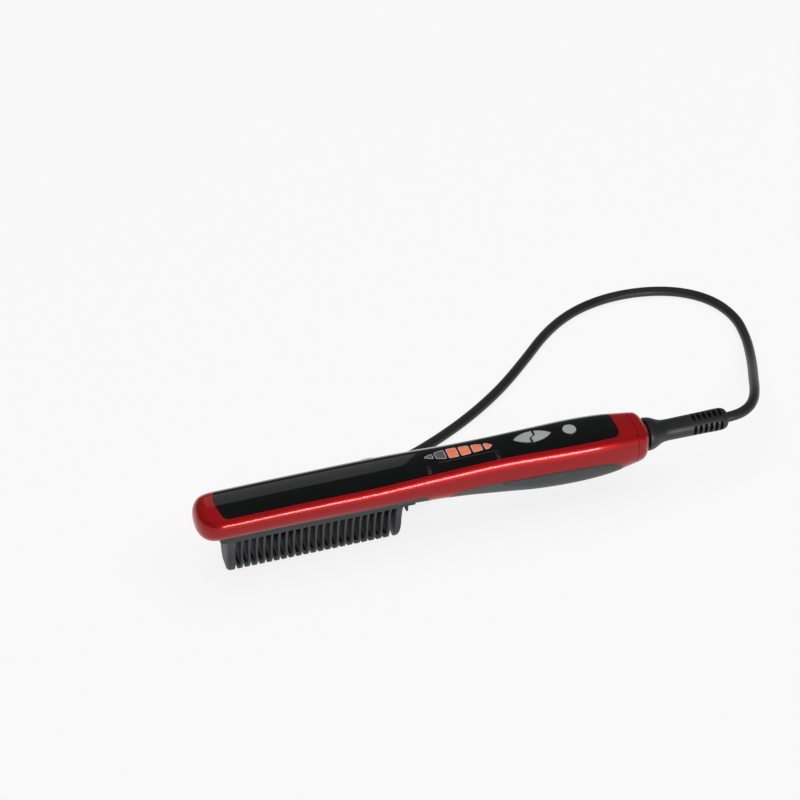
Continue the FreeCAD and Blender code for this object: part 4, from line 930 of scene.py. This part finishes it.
def slab(name, outlines, low, high, bevel, segments=3):
    """A flat plate between two heights, given as outlines of (station, offset)."""
    points, faces = filled(outlines, [], [], PLATE_EDGE)
    bm = bmesh.new()
    verts = [bm.verts.new(at(p[0], p[1], low)) for p in points]
    for face in faces:
        bm.faces.new([verts[i] for i in face])
    bmesh.ops.recalc_face_normals(bm, faces=bm.faces)
    bmesh.ops.translate(bm, verts=extruded(bm, bm.faces[:]), vec=(0, 0, (high - low) * MM))
    bmesh.ops.recalc_face_normals(bm, faces=bm.faces)
    bmesh.ops.dissolve_limit(bm, angle_limit=0.02, verts=bm.verts, edges=bm.edges)
    return soften(new_object(name, built(bm, name), GUARD), bevel, segments)


def flange():
    """The plate under the head, open over the comb."""
    outline = plan(FLANGE_FRONT, FLANGE_REAR, FLANGE_HALF, FLANGE_ROUND)
    return slab("guard_flange", [outline, OPENING], FLANGE_LOW, PLATE_TOP, 0.7)


def tail():
    """The guard's tongue behind the flange, with a slanted end."""
    outline = rectangle(FLANGE_REAR - 1, RIM_END + TAIL_MORE, TAIL_HALF)
    piece = slab("guard_tail", [outline], TAIL_LOW, PLATE_TOP, 0.4)
    for vertex in piece.data.vertices:
        if vertex.co.x > (NOSE + RIM_END) * MM:
            vertex.co.x -= max(0, (vertex.co.z / MM - TAIL_SLANT) / RIM_SLOPE) * MM
    return piece


def block(name, front_at, rear_at, front_round):
    """An end block of the guard: its plan at each height, lofted from the foot up."""
    bm = bmesh.new()
    rings = []
    for z in BLOCK_HEIGHTS:
        half, front, rear = tooth_half(z), front_at(z), rear_at(z)
        corner = min(front_round, half * 0.5, (rear - front) * 0.75)
        rings.append([bm.verts.new(at(s, y, z))
                      for s, y in plan(front, rear, half, corner, 7)])
    lofted(bm, rings)
    return soften(new_object(name, built(bm, name), GUARD), 0.35, 2, 32)


def front_edge(z):
    """Station of the front block's face, drawn back at its rounded foot."""
    depth = max(0.0, 1 - z / FRONT_FOOT)
    return BLOCK_FRONT + FRONT_DRAWN * (1 - math.sqrt(1 - depth ** 2))


def rear_edge(z):
    """Station of the rear block's face, which leans forward to its foot."""
    share = max(0.0, 1 - z / REAR_FOOT)
    return BLOCK_REAR - REAR_LEAN * share ** 2.2


def tooth_mesh():
    """One tooth rim: a thin U-shaped ring around its heated fin, at the first station."""
    rows = np.concatenate([[0.0, 0.25, 0.9, 2, 3.5, 5.2, 7.5], np.linspace(10, 33.4, 12)])
    outer = [(tooth_half(z), z) for z in rows]
    inner = [(max(0.5, tooth_half(z) - TOOTH_WALL), z) for z in rows if z > TOOTH_SOLE]
    inner[0] = (inner[0][0] - 1.4, TOOTH_SOLE)
    loop = outer + inner[::-1] + [(-y, z) for y, z in inner] + [(-y, z) for y, z in outer[::-1]]
    bm = bmesh.new()
    x = TOOTH_FIRST - TOOTH_THICK / 2
    verts = [bm.verts.new(at(x, y, z)) for y, z in loop]
    bm.faces.new(verts)
    bmesh.ops.triangulate(bm, faces=bm.faces[:])
    moved = extruded(bm, bm.faces[:])
    bmesh.ops.translate(bm, verts=moved, vec=(TOOTH_THICK * MM, 0, 0))
    for vert in set(bm.verts) - set(moved):
        flare = max(0.0, 1 - vert.co.z / (FOOT_HIGH * MM)) ** 1.2
        vert.co.x -= TOOTH_FOOT * flare * MM
    bmesh.ops.recalc_face_normals(bm, faces=bm.faces)
    bmesh.ops.dissolve_limit(bm, angle_limit=0.01, verts=bm.verts, edges=bm.edges)
    return soften(new_object("tooth_rims", built(bm, "tooth_rims"), GUARD), 0.28, 2, 50)


def row_tree(name):
    """A node tree that repeats its geometry in a row along the body."""
    tree = bpy.data.node_groups.new(name, "GeometryNodeTree")
    for word, kind, way in (("Geometry", "NodeSocketGeometry", "INPUT"),
                            ("Count", "NodeSocketInt", "INPUT"),
                            ("Pitch", "NodeSocketFloat", "INPUT"),
                            ("Finish", "NodeSocketMaterial", "INPUT"),
                            ("Geometry", "NodeSocketGeometry", "OUTPUT")):
        tree.interface.new_socket(word, in_out=way, socket_type=kind)
    given, out = tree.nodes.new("NodeGroupInput"), tree.nodes.new("NodeGroupOutput")
    step = tree.nodes.new("ShaderNodeCombineXYZ")
    line = tree.nodes.new("GeometryNodeMeshLine")
    place = tree.nodes.new("GeometryNodeInstanceOnPoints")
    real = tree.nodes.new("GeometryNodeRealizeInstances")
    paint = tree.nodes.new("GeometryNodeSetMaterial")
    for source, target in ((given.outputs["Pitch"], step.inputs["X"]),
                           (given.outputs["Count"], line.inputs["Count"]),
                           (step.outputs["Vector"], line.inputs["Offset"]),
                           (line.outputs["Mesh"], place.inputs["Points"]),
                           (given.outputs["Geometry"], place.inputs["Instance"]),
                           (place.outputs["Instances"], real.inputs["Geometry"]),
                           (real.outputs["Geometry"], paint.inputs["Geometry"]),
                           (given.outputs["Finish"], paint.inputs["Material"]),
                           (paint.outputs["Geometry"], out.inputs["Geometry"])):
        tree.links.new(source, target)
    return tree


ROW = row_tree("row_along_body")


def in_a_row(piece, count, pitch, finish):
    """A piece repeated along the body and made plain mesh."""
    modifier = piece.modifiers.new("row", "NODES")
    modifier.node_group = ROW
    sockets = {item.name: item.identifier for item in ROW.interface.items_tree
               if item.in_out == "INPUT"}
    modifier[sockets["Count"]] = count
    modifier[sockets["Pitch"]] = pitch * MM
    modifier[sockets["Finish"]] = finish
    return settle(piece)


def stubs():
    """Three short stubs of uneven depth behind the rear block."""
    pieces = []
    for k, share in enumerate(STUB_SHARES):
        middle = BLOCK_REAR + STUB_PITCH * (k + 0.5)
        outline = rectangle(middle - STUB_HALF_THICK, middle + STUB_HALF_THICK, STUB_HALF)
        pieces.append(slab(f"guard_stub_{k + 1}", [outline], FLANGE_LOW - STUB_DEEP * share,
                           STUB_TOP, 0.3, 2))
    return pieces


guard = [guard_skin(), flange(), tail(),
         block("guard_front_block", front_edge, lambda z: COMB_FRONT, BLOCK_ROUND),
         block("guard_rear_block", lambda z: COMB_REAR, rear_edge, 0.4),
         in_a_row(tooth_mesh(), TOOTH_COUNT, TOOTH_PITCH, GUARD), *stubs()]
for piece in guard:
    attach(piece, "handle")
    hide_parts("comb_guard")

# -------- cord boot
BOOT_FRONT, BOOT_AROUND = BODY_END + 0.3, 64
BOOT_SIDE = [(0, 10.5), (1.5, 10.5), (4.5, 9.8), (8, 8.1), (11, 7.1), (14, 6.8), (20, 6.8),
             (40, 6.95), (50.5, 7.0), (52.4, 6.6), (53.7, 5.8), (54.4, 4.7), (54.5, 3.2)]
GROOVES, GROOVE_PITCH, GROOVE_LONG, GROOVE_LAST, GROOVE_DEEP = 6, 3.55, 2.0, 338.0, 2.9


def boot():
    """Rubber boot turned from its side line, with rows of grooves on four sides."""
    edges = [GROOVE_LAST - k * GROOVE_PITCH - w for k in range(GROOVES) for w in (0, GROOVE_LONG)]
    fine = [(BOOT_FRONT + s, r) for s, r in smooth_line(BOOT_SIDE, 4)]
    plain = [(s, r) for s, r in fine if not edges[-1] < s < edges[0]]
    rows = sorted(plain + [(s, float(np.interp(s, *zip(*fine)))) for s in edges])
    turns = [2 * math.pi * (k + 0.5) / BOOT_AROUND - math.pi / 4 for k in range(BOOT_AROUND)]
    bm = bmesh.new()
    rings = [[bm.verts.new(at(s, r * math.cos(a), AXIS_HEIGHT + r * math.sin(a))) for a in turns]
             for s, r in rows]
    grooved, starts, side = [], sorted(edges)[::2], BOOT_AROUND // 4
    for (s, _), band in zip(rows, lofted(bm, rings)):
        if s in starts:
            grooved += [band[k + 2:k + side - 3] for k in range(0, BOOT_AROUND, side)]
    for faces in grooved:
        sunk = extruded(bm, faces)
        bmesh.ops.delete(bm, geom=faces, context="FACES_ONLY")
        for vertex in sunk:
            away = Vector((0, vertex.co.y, vertex.co.z - AXIS_HEIGHT * MM))
            vertex.co -= away.normalized() * GROOVE_DEEP * MM
    bmesh.ops.recalc_face_normals(bm, faces=bm.faces)
    return soften(new_object("cord_boot", built(bm, "cord_boot"), RUBBER), 0.35, 2, 50)


piece = boot()
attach(piece, "cord_swivel")
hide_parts("strain_relief")

# -------- cord finish and body, packed cord parts hidden
cord.data.materials.append(RUBBER)
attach(cord, "handle")
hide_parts("power_cord", "plug_lead", "cord_hank")


# -------- studio
WORLD_STRENGTH, FLOOR_GREY, FLOOR_GLOW = 0.12, 0.72, 0.85


def lamp(name, place, aim, size, watts, mirrored):
    """A rectangular softbox: a broad plain light, or a card seen in gloss alone."""
    data = bpy.data.lights.new(name, "AREA")
    data.shape = "RECTANGLE"
    data.size, data.size_y = size
    data.energy = watts
    softbox = bpy.data.objects.new(name, data)
    softbox.visible_glossy, softbox.visible_diffuse = mirrored, not mirrored
    set_up(softbox, place, Vector(aim) - Vector(place))


def studio():
    """White floor, a dim surround and softboxes above, in front and behind."""
    scene = bpy.context.scene
    scene.view_settings.view_transform = "Standard"
    world = bpy.data.worlds.new("studio")
    world.use_nodes = True
    scene.world = world
    background = world.node_tree.nodes["Background"]
    set_inputs(background, Color=(1, 1, 1, 1), Strength=WORLD_STRENGTH)
    lamp("overhead", (0.2, -0.2, 3.2), (0.1, 0.1, 0.0), (5.0, 5.0), 138, False)
    lamp("front_card", (0.3, -1.5, 0.26), (0.0, 0.0, 0.045), (0.74, 0.22), 15.0, True)
    lamp("rear_card", (0.3, 2.6, 1.8), (0.0, 0.0, 0.05), (0.8, 1.58), 2.0, True)
    bm = bmesh.new()
    bmesh.ops.create_grid(bm, x_segments=1, y_segments=1, size=4.0)
    floor = bpy.data.objects.new("floor", built(bm, "floor"))
    link(floor)
    material, tree, shader = new_material("floor_white")
    set_inputs(shader, Base_Color=(FLOOR_GREY, FLOOR_GREY, FLOOR_GREY, 1), Roughness=0.7)
    path = tree.nodes.new("ShaderNodeLightPath")
    seen = path.outputs["Is Camera Ray"]
    for kind in ("Is Glossy Ray", "Is Transmission Ray"):
        either = tree.nodes.new("ShaderNodeMath")
        either.operation = "MAXIMUM"
        tree.links.new(seen, either.inputs[0])
        tree.links.new(path.outputs[kind], either.inputs[1])
        seen = either.outputs["Value"]
    share = tree.nodes.new("ShaderNodeMath")
    share.operation = "MULTIPLY"
    share.inputs[1].default_value = FLOOR_GLOW
    tree.links.new(seen, share.inputs[0])
    glow, mixed = tree.nodes.new("ShaderNodeEmission"), tree.nodes.new("ShaderNodeMixShader")
    set_inputs(glow, Color=(1, 1, 1, 1), Strength=1.0)
    output = next(n for n in tree.nodes if n.type == "OUTPUT_MATERIAL")
    tree.links.new(share.outputs["Value"], mixed.inputs[0])
    tree.links.new(shader.outputs["BSDF"], mixed.inputs[1])
    tree.links.new(glow.outputs["Emission"], mixed.inputs[2])
    tree.links.new(mixed.outputs["Shader"], output.inputs["Surface"])
    floor.data.materials.append(material)


studio()
